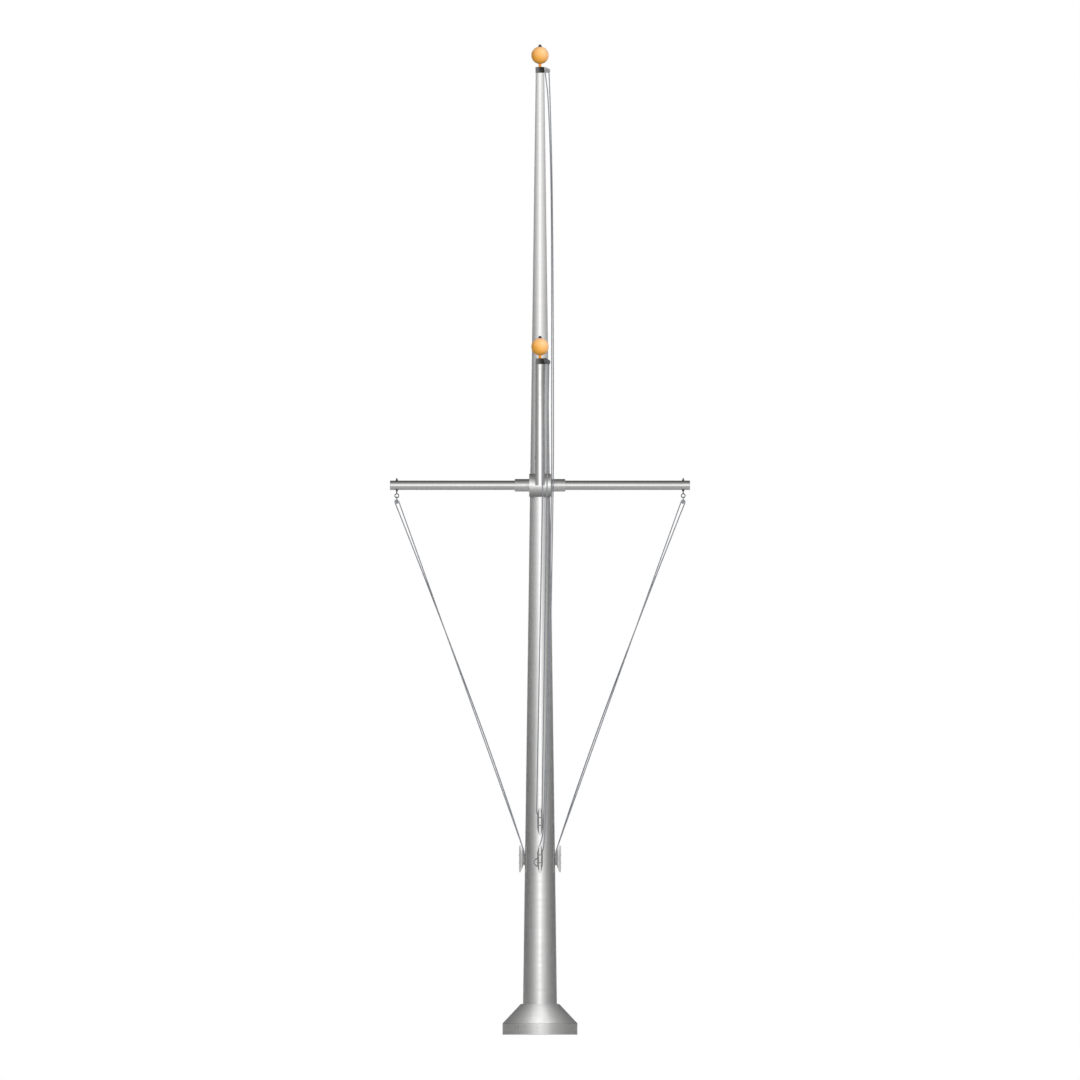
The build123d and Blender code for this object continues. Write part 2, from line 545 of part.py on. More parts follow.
def each_screw(piece):
    """One node of like pieces, one at each cleat screw."""
    found = []
    for height, turn in CLEAT_SEATS.values():
        for level in screw_heights(height):
            found.append(piece(height, turn, level))
    return Compound(children=found)


# ---------------------------------------------------------------- halyards
def halyard(name, route):
    """Rope along straight runs joined by arcs as large as the runs allow."""
    points = [Vector(*point) for point in route]
    radii = []
    for before, corner, after in zip(points, points[1:], points[2:]):
        shorter = min((corner - before).length, (after - corner).length)
        half_turn = math.radians((corner - before).get_angle(after - corner)) / 2
        radii.append(0.45 * shorter / math.tan(half_turn))
    path = FilletPolyline(*points, radius=radii)
    start = Plane(origin=points[0], z_dir=points[1] - points[0])
    tube = sweep(start * Circle(ROPE_DIA / 2), path=path)
    expected = math.pi * (ROPE_DIA / 2) ** 2 * path.length
    print(name, "length", round(path.length), "radii", [round(r) for r in radii])
    print(name, "volume / (section x length)", round(tube.volume / expected, 5), "valid", tube.is_valid)
    return tube


# ---------------------------------------------------------------- assembly
def assemble():
    main_head = POLE_HEIGHT + TRUCK_HEIGHT
    gaff_head = GAFF_TIP_HEIGHT + TRUCK_HEIGHT
    ball_lift = STEM_HEIGHT + BALL_RADIUS
    house_grip = SLOT_WIDTH + 2 * CHEEK_THICK + 2 * SEAT
    shackle_grip = SLOT_WIDTH + SHACKLE_BAR + SHACKLE_EYE_THICK + 2 * SEAT
    nodes = {
        "base_plate": base_plate(),
        "flash_collar": flash_collar(),
        "pole_shaft": pole_shaft(),
        "main_truck": main_truck(),
        "cross_fitting": cross_fitting(),
        "gaff_spigot": gaff_spigot(),
        "gaff_arm": gaff_arm(),
        "gaff_set_screw": gaff_set_screw(),
        "gaff_truck": gaff_truck(),
        "eyebolt_nuts": eye_bolt_nuts(),
    }
    for name, y, head in (("main", 0, main_head), ("gaff", GAFF_TIP_Y, gaff_head)):
        nodes[name + "_spindle"] = Pos(0, y, head) * spindle()
        nodes[name + "_ball_lower"] = Pos(0, y, head + ball_lift) * ball_half(False)
        nodes[name + "_ball_upper"] = Pos(0, y, head + ball_lift) * ball_half(True)
        nodes[name + "_cap_nut"] = Pos(0, y, head + ball_lift) * cap_nut()
    main_axle = Pos(SHEAVE_REACH, 0, POLE_HEIGHT + SHEAVE_LIFT)
    gaff_axle = Pos(SHEAVE_REACH, GAFF_TIP_Y, GAFF_TIP_HEIGHT + SHEAVE_LIFT) * Rot(GAFF_SHEAVE_TILT, 0, 0)
    for name, axle in (("main", main_axle), ("gaff", gaff_axle)):
        nodes[name + "_sheave"] = axle * sheave()
        nodes[name + "_sheave_pin"] = axle * sheave_pin(house_grip)
    for name, side in (("port", -1), ("starboard", 1)):
        nodes[name + "_yard_arm"] = yard_arm(side)
        nodes[name + "_yard_cap"] = yard_cap(side)
        nodes[name + "_eyebolt"] = eye_bolt(side)
        eye = Pos(side * EYE_REACH, 0, EYE_HEIGHT)
        axle = eye * Pos(0, 0, -BLOCK_DROP)
        nodes[name + "_shackle"] = eye * shackle()
        nodes[name + "_sheave"] = axle * sheave()
        nodes[name + "_sheave_pin"] = axle * sheave_pin(shackle_grip)
    for name, (height, turn) in CLEAT_SEATS.items():
        nodes[name] = cleat_bar(height, turn)
    nodes["cleat_spacers"] = each_screw(spacer)
    nodes["cleat_screws"] = each_screw(screw)
    nodes["port_halyard"] = halyard("port_halyard", PORT_HALYARD)
    nodes["starboard_halyard"] = halyard("starboard_halyard", STARBOARD_HALYARD)
    nodes["gaff_halyard"] = halyard("gaff_halyard", GAFF_HALYARD)
    nodes["main_halyard"] = halyard("main_halyard", MAIN_HALYARD)
    return nodes


os.makedirs("parts", exist_ok=True)
for node, solid in assemble().items():
    export_step(solid, "parts/" + node + ".step")
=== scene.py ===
import logging
import math
from collections.abc import Callable, Iterable, Sequence
from dataclasses import dataclass
from enum import Enum
from typing import Any

import bmesh
import bpy
import numpy as np
from mathutils import Euler, Matrix, Vector


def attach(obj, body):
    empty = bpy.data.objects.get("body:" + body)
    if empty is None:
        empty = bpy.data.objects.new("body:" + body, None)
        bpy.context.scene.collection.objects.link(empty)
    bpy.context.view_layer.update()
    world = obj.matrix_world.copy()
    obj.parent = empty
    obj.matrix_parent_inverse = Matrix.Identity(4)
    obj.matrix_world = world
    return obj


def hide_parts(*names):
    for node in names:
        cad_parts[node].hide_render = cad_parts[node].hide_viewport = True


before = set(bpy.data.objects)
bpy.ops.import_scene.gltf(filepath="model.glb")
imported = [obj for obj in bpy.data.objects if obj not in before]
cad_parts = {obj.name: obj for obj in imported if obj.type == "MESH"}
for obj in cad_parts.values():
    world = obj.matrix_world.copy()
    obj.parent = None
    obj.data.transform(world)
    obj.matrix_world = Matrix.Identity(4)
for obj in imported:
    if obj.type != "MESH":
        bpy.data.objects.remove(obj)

LOG = logging.getLogger("flagpole")
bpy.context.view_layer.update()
Point = tuple[float, float, float]
Profile = list[tuple[float, float]]
Colour = tuple[float, float, float]
Pair = tuple[float, float]


class Body(str, Enum):
    """The bodies that the pieces ride on."""

    MAST = "mast"
    MAIN_WHEEL = "main_wheel"
    GAFF_WHEEL = "gaff_wheel"
    PORT_WHEEL = "port_wheel"
    STARBOARD_WHEEL = "starboard_wheel"


class Slot(str, Enum):
    """The finishes that a maker orders the pieces in."""

    SATIN = "satin_aluminium"
    CAST = "cast_aluminium"
    TRUCK = "cast_truck"
    STEEL = "steel"
    SHEAVE = "sheave"
    GOLD = "gold"
    ROPE = "rope"


class Side(Enum):
    """The two sides of the mast, as signs along X."""

    PORT = -1
    STARBOARD = 1

    @property
    def word(self) -> str:
        """Name of the side as the nodes spell it."""
        return self.name.lower()


# ---------------------------------------------------------------- node trees
# Sockets of a Mix node that blends colours: three inputs and the result.
MIX_FACTOR, MIX_LOW, MIX_HIGH, MIX_RESULT = 0, 6, 7, 2


class Graph:
    """A node tree with short calls that add and join its nodes."""

    def __init__(self, tree: bpy.types.NodeTree) -> None:
        """Keep the tree.

        Args:
            tree: The node tree to draw in.
        """
        self.tree = tree

    def add(self, kind: str, **settings: Any) -> bpy.types.Node:
        """Add a node.

        Args:
            kind: Node type without its ShaderNode prefix.
            **settings: Properties of the node.

        Returns:
            The new node.
        """
        node = self.tree.nodes.new("ShaderNode" + kind)
        for name, value in settings.items():
            setattr(node, name, value)
        return node

    def feed(self, socket: bpy.types.NodeSocket, value: Any) -> None:
        """Join an output to a socket, or set the socket's own value.

        Args:
            socket: Input socket.
            value: Output socket, number, vector or colour.
        """
        if isinstance(value, bpy.types.NodeSocket):
            self.tree.links.new(value, socket)
        else:
            socket.default_value = value

    def math(self, operation: str, *values: Any) -> bpy.types.NodeSocket:
        """Add a Math node.

        Args:
            operation: Blender's name of the operation.
            *values: Its one to three inputs.

        Returns:
            The result.
        """
        node = self.add("Math", operation=operation)
        for socket, value in zip(node.inputs, values):
            self.feed(socket, value)
        return node.outputs[0]

    def blend(self, factor: Any, low: Any, high: Any) -> bpy.types.NodeSocket:
        """Mix two colours.

        Args:
            factor: 0 for low, 1 for high.
            low: First colour.
            high: Second colour.

        Returns:
            The mixed colour.
        """
        node = self.add("Mix", data_type="RGBA")
        for index, value in ((MIX_FACTOR, factor), (MIX_LOW, low), (MIX_HIGH, high)):
            opaque = (*value, 1.0) if isinstance(value, tuple) else value
            self.feed(node.inputs[index], opaque)
        return node.outputs[MIX_RESULT]

    def span(self, value: Any, low: float, high: float, first: float, last: float) -> bpy.types.NodeSocket:
        """Map a range of values onto another, held at its ends.

        Args:
            value: What is mapped.
            low: Value that gives first.
            high: Value that gives last.
            first: Result at low.
            last: Result at high.

        Returns:
            The mapped value.
        """
        node = self.add("MapRange")
        for socket, given in zip(node.inputs, (value, low, high, first, last)):
            self.feed(socket, given)
        return node.outputs[0]

    def spread(self, value: Any, low: float = 0.35, high: float = 0.65) -> bpy.types.NodeSocket:
        """Spread the values that a noise mostly takes over 0 to 1.

        Args:
            value: The noise.
            low: Value that gives 0.
            high: Value that gives 1.

        Returns:
            The spread value.
        """
        return self.span(value, low, high, 0.0, 1.0)

    def weigh(self, first: Any, second: Any, share: float) -> bpy.types.NodeSocket:
        """Add two values by weight.

        Args:
            first: One value.
            second: The other.
            share: Weight of the first, and what it leaves of 1 is the second's.

        Returns:
            The weighted sum.
        """
        major = self.math("MULTIPLY", first, share)
        minor = self.math("MULTIPLY", second, 1.0 - share)
        return self.math("ADD", major, minor)

    def noise(self, vector: Any, scale: Any, detail: float = 2.0) -> bpy.types.NodeSocket:
        """Add a noise texture.

        Args:
            vector: Coordinates.
            scale: Waves a metre.
            detail: Octaves.

        Returns:
            Its value, about 0.5.
        """
        node = self.add("TexNoise")
        self.feed(node.inputs["Vector"], vector)
        self.feed(node.inputs["Scale"], scale)
        node.inputs["Detail"].default_value = detail
        return node.outputs["Fac"]

    def mapped(self, vector: Any, turn: Point = (0, 0, 0), scale: Point = (1, 1, 1)) -> bpy.types.NodeSocket:
        """Turn and stretch coordinates.

        Args:
            vector: Coordinates.
            turn: Euler angles in degrees.
            scale: Stretch along each axis, after the turn.

        Returns:
            The new coordinates.
        """
        node = self.add("Mapping")
        self.feed(node.inputs["Vector"], vector)
        node.inputs["Rotation"].default_value = [math.radians(angle) for angle in turn]
        stretched = self.add("VectorMath", operation="MULTIPLY")
        self.feed(stretched.inputs[0], node.outputs[0])
        stretched.inputs[1].default_value = scale
        return stretched.outputs[0]

    def axes(self, vector: Any) -> list[bpy.types.NodeSocket]:
        """Split coordinates.

        Args:
            vector: Coordinates.

        Returns:
            X, Y and Z.
        """
        node = self.add("SeparateXYZ")
        self.feed(node.inputs[0], vector)
        return list(node.outputs)

    def place(self, tree: bpy.types.NodeTree, **values: Any) -> bpy.types.Node:
        """Place a shared group.

        Args:
            tree: The group.
            **values: Its inputs by name.

        Returns:
            The group's node.
        """
        node = self.add("Group", node_tree=tree)
        for name, value in values.items():
            self.feed(node.inputs[name], value)
        return node

    def bump(self, height: Any, depth: float, strength: float = 1.0) -> bpy.types.NodeSocket:
        """Turn a height into a normal.

        Args:
            height: Height from 0 to 1.
            depth: What 1 stands for, in metres.
            strength: How much of it shows.

        Returns:
            The normal.
        """
        node = self.add("Bump")
        node.inputs["Distance"].default_value = depth
        node.inputs["Strength"].default_value = strength
        self.feed(node.inputs["Height"], height)
        return node.outputs[0]


def shared_group(name: str, inputs: dict[str, Any], outputs: Sequence[str],
                 draw: Callable[[Graph, dict[str, Any]], Sequence[Any]]) -> bpy.types.NodeTree:
    """Make a shader node group once and hand the same one out afterwards.

    Args:
        name: Name of the group.
        inputs: Default of each input, or None for a vector.
        outputs: Names of the outputs, all values.
        draw: Draws the nodes and returns what each output carries.

    Returns:
        The group.
    """
    found = bpy.data.node_groups.get(name)
    if found:
        return found
    tree = bpy.data.node_groups.new(name, "ShaderNodeTree")
    for label, value in inputs.items():
        kind = "NodeSocketVector" if value is None else "NodeSocketFloat"
        socket = tree.interface.new_socket(name=label, in_out="INPUT", socket_type=kind)
        if value is not None:
            socket.default_value = value
    for label in outputs:
        tree.interface.new_socket(name=label, in_out="OUTPUT", socket_type="NodeSocketFloat")
    graph = Graph(tree)
    entry = tree.nodes.new("NodeGroupInput")
    leaving = tree.nodes.new("NodeGroupOutput")
    results = draw(graph, {label: entry.outputs[label] for label in inputs})
    for label, result in zip(outputs, results):
        graph.feed(leaving.inputs[label], result)
    return tree


def turned_grain() -> bpy.types.NodeTree:
    """Fine rings round a tube whose axis is the vector's Z.

    Returns:
        The group, with Tone and Height.
    """
    fine_waves, broad_waves = (3, 3, 420), (2, 2, 45)

    def draw(graph: Graph, given: dict[str, Any]) -> Sequence[Any]:
        """Draw fine rings over broad ones.

        Args:
            graph: The group's tree.
            given: Its inputs.

        Returns:
            Tone and height.
        """
        fine = graph.noise(graph.mapped(given["Vector"], scale=fine_waves), 1.0, 3.0)
        broad = graph.noise(graph.mapped(given["Vector"], scale=broad_waves), 1.0, 2.0)
        return graph.spread(graph.weigh(fine, broad, 0.6), 0.3, 0.7), fine

    return shared_group("turned_grain", {"Vector": None}, ("Tone", "Height"), draw)


def casting_skin() -> bpy.types.NodeTree:
    """Grain of a sand-cast surface.

    Returns:
        The group, with Tone and Height.
    """

    def draw(graph: Graph, given: dict[str, Any]) -> Sequence[Any]:
        """Draw grit and broad patches.

        Args:
            graph: The group's tree.
            given: Its inputs.

        Returns:
            Tone and height.
        """
        grit = graph.noise(given["Vector"], given["Grains"], 3.0)
        patches = graph.noise(given["Vector"], 22.0, 3.0)
        return graph.spread(graph.weigh(grit, patches, 0.35)), grit

    return shared_group("casting_skin", {"Vector": None, "Grains": 900.0}, ("Tone", "Height"), draw)


def weather() -> bpy.types.NodeTree:
    """Faint marks that rain and salt leave, longer than they are wide.

    Returns:
        The group, with Mask.
    """
    run_waves, spot_waves = (26, 26, 1.6), 140.0

    def draw(graph: Graph, given: dict[str, Any]) -> Sequence[Any]:
        """Draw upright runs broken up by spots.

        Args:
            graph: The group's tree.
            given: Its inputs.

        Returns:
            The mask.
        """
        runs = graph.noise(graph.mapped(given["Vector"], scale=run_waves), 1.0, 4.0)
        spots = graph.noise(given["Vector"], spot_waves, 2.0)
        mask = graph.math("MULTIPLY", graph.spread(runs, 0.5, 0.72), graph.span(spots, 0.35, 0.7, 0.4, 1.0))
        return (graph.math("MULTIPLY", mask, given["Amount"]),)

    return shared_group("weather", {"Vector": None, "Amount": 0.5}, ("Mask",), draw)


def plait() -> bpy.types.NodeTree:
    """A round plait on a rope's own UV map.

    Returns:
        The group, with Tracer, Dashes and Height.
    """
    strands, repeat, traced, dash_waves = 8.0, 4.0, 1.5, 26.0

    def draw(graph: Graph, given: dict[str, Any]) -> Sequence[Any]:
        """Draw two crossing families of strands, the tracers among them and bleached lengths.

        Args:
            graph: The group's tree.
            given: Its inputs.

        Returns:
            Tracer, dashes and height.
        """
        around, along, _ = graph.axes(given["Vector"])
        turns = graph.math("MULTIPLY", around, strands)
        picks = graph.math("MULTIPLY", along, given["Picks"])
        right = graph.math("ADD", turns, picks)
        left = graph.math("SUBTRACT", turns, picks)
        crowns = [graph.math("PINGPONG", family, 0.5) for family in (right, left)]
        height = graph.math("MAXIMUM", *crowns)
        strand = graph.math("FLOOR", right)
        tracer = graph.math("LESS_THAN", graph.math("FLOORED_MODULO", strand, repeat), traced)
        lengthwise = graph.add("CombineXYZ")
        graph.feed(lengthwise.inputs["Y"], along)
        dashes = graph.noise(lengthwise.outputs[0], dash_waves, 1.0)
        return tracer, graph.spread(dashes, 0.42, 0.6), height

    return shared_group("plait", {"Vector": None, "Picks": 180.0}, ("Tracer", "Dashes", "Height"), draw)


# ---------------------------------------------------------------- finishes
@dataclass(frozen=True)
class Surface:
    """How every material starts.

    Attributes:
        name: Name of the material.
    """

    name: str

    def material(self) -> bpy.types.Material:
        """Draw the material on first use.

        Returns:
            The material.
        """
        found = bpy.data.materials.get(self.name)
        if found:
            return found
        material = bpy.data.materials.new(self.name)
        material.use_nodes = True
        graph = Graph(material.node_tree)
        shader = next(node for node in material.node_tree.nodes if node.type == "BSDF_PRINCIPLED")
        spot = graph.add("TexCoord")
        self.draw(graph, shader.inputs, spot.outputs)
        return material

    def draw(self, graph: Graph, shader: Any, spot: Any) -> None:
        """Draw the surface's nodes.

        Args:
            graph: The material's tree.
            shader: Inputs of its shader.
            spot: Outputs of its texture coordinates.
        """
        raise NotImplementedError


@dataclass(frozen=True)
class Finish(Surface):
    """A surface that a maker can order a piece in.

    Attributes:
        slot: The finish's slot in the record; not used.
    """

    slot: Slot


@dataclass(frozen=True)
class SatinTube(Finish):
    """Aluminium tube with the fine rings of a finishing belt, more lacquer-like towards one end.

    Attributes:
        slot: The finish's slot in the record; not used.
        tone: Colour of the bare metal.
        turn: Euler angles in degrees that bring the tube's axis to Z.
        span: Places along the axis between which the metal share changes, in metres.
        metal: Metal share at those two places.
        rough: Roughness at those two places.
        ring_depth: Height of the rings in metres.
        ring_rough: Roughness that the darkest and the palest rings add.
        ring_dull: Share of the colour in the darkest rings.
        salt: Colour of the weather marks.
        salt_amount: How much of them shows.
        salt_rough: Roughness that they add.
    """

    slot: Slot = Slot.SATIN
    tone: Colour = (0.88, 0.875, 0.87)
    turn: Point = (0.0, 0.0, 0.0)
    span: Pair = (0.0, 8.0)
    metal: Pair = (1.0, 1.0)
    rough: Pair = (0.18, 0.18)
    ring_depth: float = 0.00002
    ring_rough: Pair = (0.04, -0.03)
    ring_dull: float = 0.9
    salt: Colour = (0.70, 0.69, 0.67)
    salt_amount: float = 0.35
    salt_rough: float = 0.12

    def draw(self, graph: Graph, shader: Any, spot: Any) -> None:
        """Draw rings, faint weather marks and the change of the metal share.

        Args:
            graph: The material's tree.
            shader: Inputs of its shader.
            spot: Outputs of its texture coordinates.
        """
        place = graph.mapped(spot["Object"], turn=self.turn)
        grain = graph.place(turned_grain(), Vector=place)
        marks = graph.place(weather(), Vector=place, Amount=self.salt_amount)
        dull = tuple(self.ring_dull * part for part in self.tone)
        base = graph.blend(grain.outputs["Tone"], dull, self.tone)
        graph.feed(shader["Base Color"], graph.blend(marks.outputs["Mask"], base, self.salt))
        along = graph.axes(place)[2]
        even = graph.span(along, *self.span, *self.rough)
        ringed = graph.math("ADD", even, graph.span(grain.outputs["Tone"], 0.0, 1.0, *self.ring_rough))
        marked = graph.math("MULTIPLY", marks.outputs["Mask"], self.salt_rough)
        graph.feed(shader["Roughness"], graph.math("ADD", ringed, marked))
        graph.feed(shader["Metallic"], graph.span(along, *self.span, *self.metal))
        graph.feed(shader["Normal"], graph.bump(grain.outputs["Height"], self.ring_depth))


@dataclass(frozen=True)
class Casting(Finish):
    """Cast aluminium with a fine skin.

    Attributes:
        slot: The finish's slot in the record; not used.
        tone: Colour, or its port end where painted light and shade fade it.
        far_tone: Colour at the starboard end of the painted light and shade, if there is one.
        fade: Places along X between which one becomes the other, in metres; the change is painted light and
            shade.
        metal: Metal share.
        rough: Roughness.
        skin_rough: Roughness that the skin's hollows and crests add.
        skin_depth: Height of the skin in metres.
        shine: Specular level where it isn't metal.
        grains: Grains a metre.
        hollow: Colour that tints the skin's hollows.
        hollow_share: How much it tints them.
        stain: Colour of the weather marks.
        marks: Strength of the weather marks.
    """

    slot: Slot = Slot.CAST
    tone: Colour = (0.84, 0.84, 0.83)
    far_tone: Colour | None = None
    fade: Pair = (-1.0, 1.0)
    metal: float = 0.95
    rough: float = 0.36
    skin_rough: Pair = (0.08, -0.04)
    skin_depth: float = 0.00006
    shine: float = 0.5
    grains: float = 900.0
    hollow: Colour = (0.25, 0.25, 0.24)
    hollow_share: float = 0.14
    stain: Colour = (0.42, 0.42, 0.41)
    marks: float = 0.3

    def draw(self, graph: Graph, shader: Any, spot: Any) -> None:
        """Draw the skin, the painted light and shade across the piece and faint weather marks.

        Args:
            graph: The material's tree.
            shader: Inputs of its shader.
            spot: Outputs of its texture coordinates.
        """
        skin = graph.place(casting_skin(), Vector=spot["Object"], Grains=self.grains)
        marks = graph.place(weather(), Vector=spot["Object"], Amount=self.marks)
        # Painted light and shade: the colour fades from tone to far_tone along X.
        nearness = graph.span(graph.axes(spot["Object"])[0], *self.fade, 1.0, 0.0)
        across = graph.math("SUBTRACT", 1.0, graph.math("MULTIPLY", nearness, nearness))
        painted_shading = graph.blend(across, self.tone, self.far_tone or self.tone)
        # Painted shade by place, where a kind of casting has it.
        body = self.shaded(graph, spot["Object"], painted_shading)
        worn = graph.blend(skin.outputs["Tone"], graph.blend(self.hollow_share, body, self.hollow), body)
        graph.feed(shader["Base Color"], graph.blend(marks.outputs["Mask"], worn, self.stain))
        shader["Metallic"].default_value = self.metal
        shader["Specular IOR Level"].default_value = self.shine
        low, high = (self.rough + part for part in self.skin_rough)
        graph.feed(shader["Roughness"], graph.span(skin.outputs["Tone"], 0.0, 1.0, low, high))
        graph.feed(shader["Normal"], graph.bump(skin.outputs["Height"], self.skin_depth))

    def shaded(self, graph: Graph, place: Any, body: Any) -> Any:
        """Paint shade into the body's colour by place, where a kind of casting has it.

        Args:
            graph: The material's tree.
            place: Coordinates.
            body: Colour before the change.

        Returns:
            Colour after it.
        """
        return body


@dataclass(frozen=True)
class BlockCasting(Casting):
    """A casting whose block carries painted shade, darker towards its top and bottom.

    Attributes:
        height: Height of the block's middle.
        clear: Distance over and under the middle that stays free of painted shade.
        half: Half the block's height.
        reach: Half its length along X.
        dull: Share of the colour that the painted shade leaves at its top and bottom.
        shadow: Colour of the painted shade.
    """

    height: float = 4.670
    clear: float = 0.015
    half: float = 0.0975
    reach: float = 0.0925
    dull: float = 0.35
    shadow: Colour = (0.02, 0.02, 0.02)

    def shaded(self, graph: Graph, place: Any, body: Any) -> Any:
        """Paint shade on the block's top and bottom.

        Args:
            graph: The material's tree.
            place: Coordinates.
            body: Colour before the change.

        Returns:
            Colour after it.
        """
        across, _, high = graph.axes(place)
        rise = graph.math("ABSOLUTE", graph.math("SUBTRACT", high, self.height))
        amount = graph.span(rise, self.clear, self.half, 0.0, 1.0 - self.dull)
        inside = graph.math("LESS_THAN", graph.math("ABSOLUTE", across), self.reach)
        return graph.blend(graph.math("MULTIPLY", amount, inside), body, self.shadow)


@dataclass(frozen=True)
class FootedCasting(Casting):
    """A casting for both sides of the pole with painted shade near it.

    Attributes:
        near: Distance from the pole's axis up to which the painted shade is full, in metres.
        far: Distance from which there is no painted shade.
        dull: Share of the colour that the painted shade leaves at its foot.
        shadow: Colour of the painted shade.
    """

    near: float = 0.1470
    far: float = 0.1560
    dull: float = 0.30
    shadow: Colour = (0.03, 0.03, 0.03)

    def shaded(self, graph: Graph, place: Any, body: Any) -> Any:
        """Paint shade on the foot.

        Args:
            graph: The material's tree.
            place: Coordinates.
            body: Colour before the change.

        Returns:
            Colour after it.
        """
        across = graph.math("ABSOLUTE", graph.axes(place)[0])
        amount = graph.span(across, self.near, self.far, 1.0 - self.dull, 0.0)
        return graph.blend(amount, body, self.shadow)


@dataclass(frozen=True)
class Anodised(Finish):
    """Coloured anodised aluminium under a soft clear coat.

    Attributes:
        slot: The finish's slot in the record; not used.
        tone: Main colour.
        shade: Colour in the duller patches.
        metal: Metal share.
        rough: Roughness under the coat.
        rough_swing: How much the rings of spinning change it, up and down.
        coat_index: Refractive index of the coat.
        pitch: Waves a metre of the surface's unevenness.
        depth: Height of that unevenness in metres.
    """

    slot: Slot = Slot.GOLD
    tone: Colour = (0.86, 0.385, 0.036)
    shade: Colour = (0.80, 0.35, 0.030)
    metal: float = 0.0
    rough: float = 0.75
    rough_swing: float = 0.05
    coat_index: float = 1.7
    pitch: float = 60.0
    depth: float = 0.00006

    def draw(self, graph: Graph, shader: Any, spot: Any) -> None:
        """Draw soft patches and the faint rings of spinning.

        Args:
            graph: The material's tree.
            shader: Inputs of its shader.
            spot: Outputs of its texture coordinates.
        """
        patches = graph.noise(spot["Object"], 14.0, 3.0)
        grain = graph.place(turned_grain(), Vector=spot["Object"])
        graph.feed(shader["Base Color"], graph.blend(graph.spread(patches), self.shade, self.tone))
        low, high = self.rough + self.rough_swing, self.rough - self.rough_swing
        graph.feed(shader["Roughness"], graph.span(grain.outputs["Tone"], 0.0, 1.0, low, high))
        shader["Metallic"].default_value = self.metal
        shader["Coat Weight"].default_value = 1.0
        shader["Coat Roughness"].default_value = 1.0
        shader["Coat IOR"].default_value = self.coat_index
        graph.feed(shader["Normal"], graph.bump(graph.noise(spot["Object"], self.pitch, 2.0), self.depth))


@dataclass(frozen=True)
class Hardware(Finish):
    """Steel fittings with fine scratches and dull patches.

    Attributes:
        slot: The finish's slot in the record; not used.
        tone: Colour of the steel.
        dull: Share of the colour in the dull patches.
        rough: Roughness.
        patch_rough: Roughness that the dull and the bright patches add.
        metal: Metal share.
        scratches: Scratches a metre.
        depth: Height of the scratches in metres.
    """

    slot: Slot = Slot.STEEL
    tone: Colour = (0.40, 0.40, 0.41)
    dull: float = 0.72
    rough: float = 0.34
    patch_rough: Pair = (0.1, -0.05)
    metal: float = 1.0
    scratches: float = 1400.0
    depth: float = 0.00003

    def draw(self, graph: Graph, shader: Any, spot: Any) -> None:
        """Draw fine scratches and dull patches.

        Args:
            graph: The material's tree.
            shader: Inputs of its shader.
            spot: Outputs of its texture coordinates.
        """
        patches = graph.spread(graph.noise(spot["Object"], 160.0, 3.0))
        dull = tuple(self.dull * part for part in self.tone)
        graph.feed(shader["Base Color"], graph.blend(patches, dull, self.tone))
        low, high = (self.rough + part for part in self.patch_rough)
        graph.feed(shader["Roughness"], graph.span(patches, 0.0, 1.0, low, high))
        shader["Metallic"].default_value = self.metal
        graph.feed(shader["Normal"], graph.bump(graph.noise(spot["Object"], self.scratches, 2.0), self.depth))


@dataclass(frozen=True)
class Braid(Finish):
    """Plaited polyester rope, blue-grey with a pale tracer.

    Attributes:
        slot: The finish's slot in the record; not used.
        tone: Colour of most strands.
        tracer: Colour of the tracer strands.
        pale: Colour of the bleached lengths.
        hollow: Colour of the painted shade between the strands.
        relief: Height of the strands in metres.
        fuzz: Weight of the sheen.
    """

    slot: Slot = Slot.ROPE
    tone: Colour = (0.135, 0.165, 0.225)
    tracer: Colour = (0.44, 0.445, 0.46)
    pale: Colour = (0.30, 0.31, 0.325)
    hollow: Colour = (0.08, 0.09, 0.11)
    relief: float = 0.0009
    fuzz: float = 0.15

    def draw(self, graph: Graph, shader: Any, spot: Any) -> None:
        """Draw strands, tracer, bleached lengths, painted shade between the strands and the plait's relief.

        Args:
            graph: The material's tree.
            shader: Inputs of its shader.
            spot: Outputs of its texture coordinates.
        """
        weave = graph.place(plait(), Vector=spot["UV"])
        height = weave.outputs["Height"]
        strands = graph.blend(weave.outputs["Dashes"], self.tone, self.pale)
        base = graph.blend(weave.outputs["Tracer"], strands, self.tracer)
        # Painted shade where the plait is low, between the strands.
        hollow = graph.span(height, 0.25, 0.45, 0.6, 0.0)
        graph.feed(shader["Base Color"], graph.blend(hollow, base, self.hollow))
        graph.feed(shader["Roughness"], graph.span(height, 0.2, 0.5, 0.95, 0.75))
        shader["Sheen Weight"].default_value = self.fuzz
        graph.feed(shader["Normal"], graph.bump(height, self.relief))


@dataclass(frozen=True)
class Ground(Surface):
    """Plain pale floor.

    Attributes:
        tone: Colour of the floor.
        cloud: Share of the colour in its darker clouds.
    """

    tone: Colour = (0.62, 0.62, 0.62)
    cloud: float = 0.96

    def draw(self, graph: Graph, shader: Any, spot: Any) -> None:
        """Draw faint cloudiness.

        Args:
            graph: The material's tree.
            shader: Inputs of its shader.
            spot: Outputs of its texture coordinates.
        """
        clouds = graph.spread(graph.noise(spot["Object"], 0.6, 3.0))
        darker = tuple(self.cloud * part for part in self.tone)
        graph.feed(shader["Base Color"], graph.blend(clouds, darker, self.tone))
        shader["Roughness"].default_value = 0.9
        shader["Specular IOR Level"].default_value = 0.1


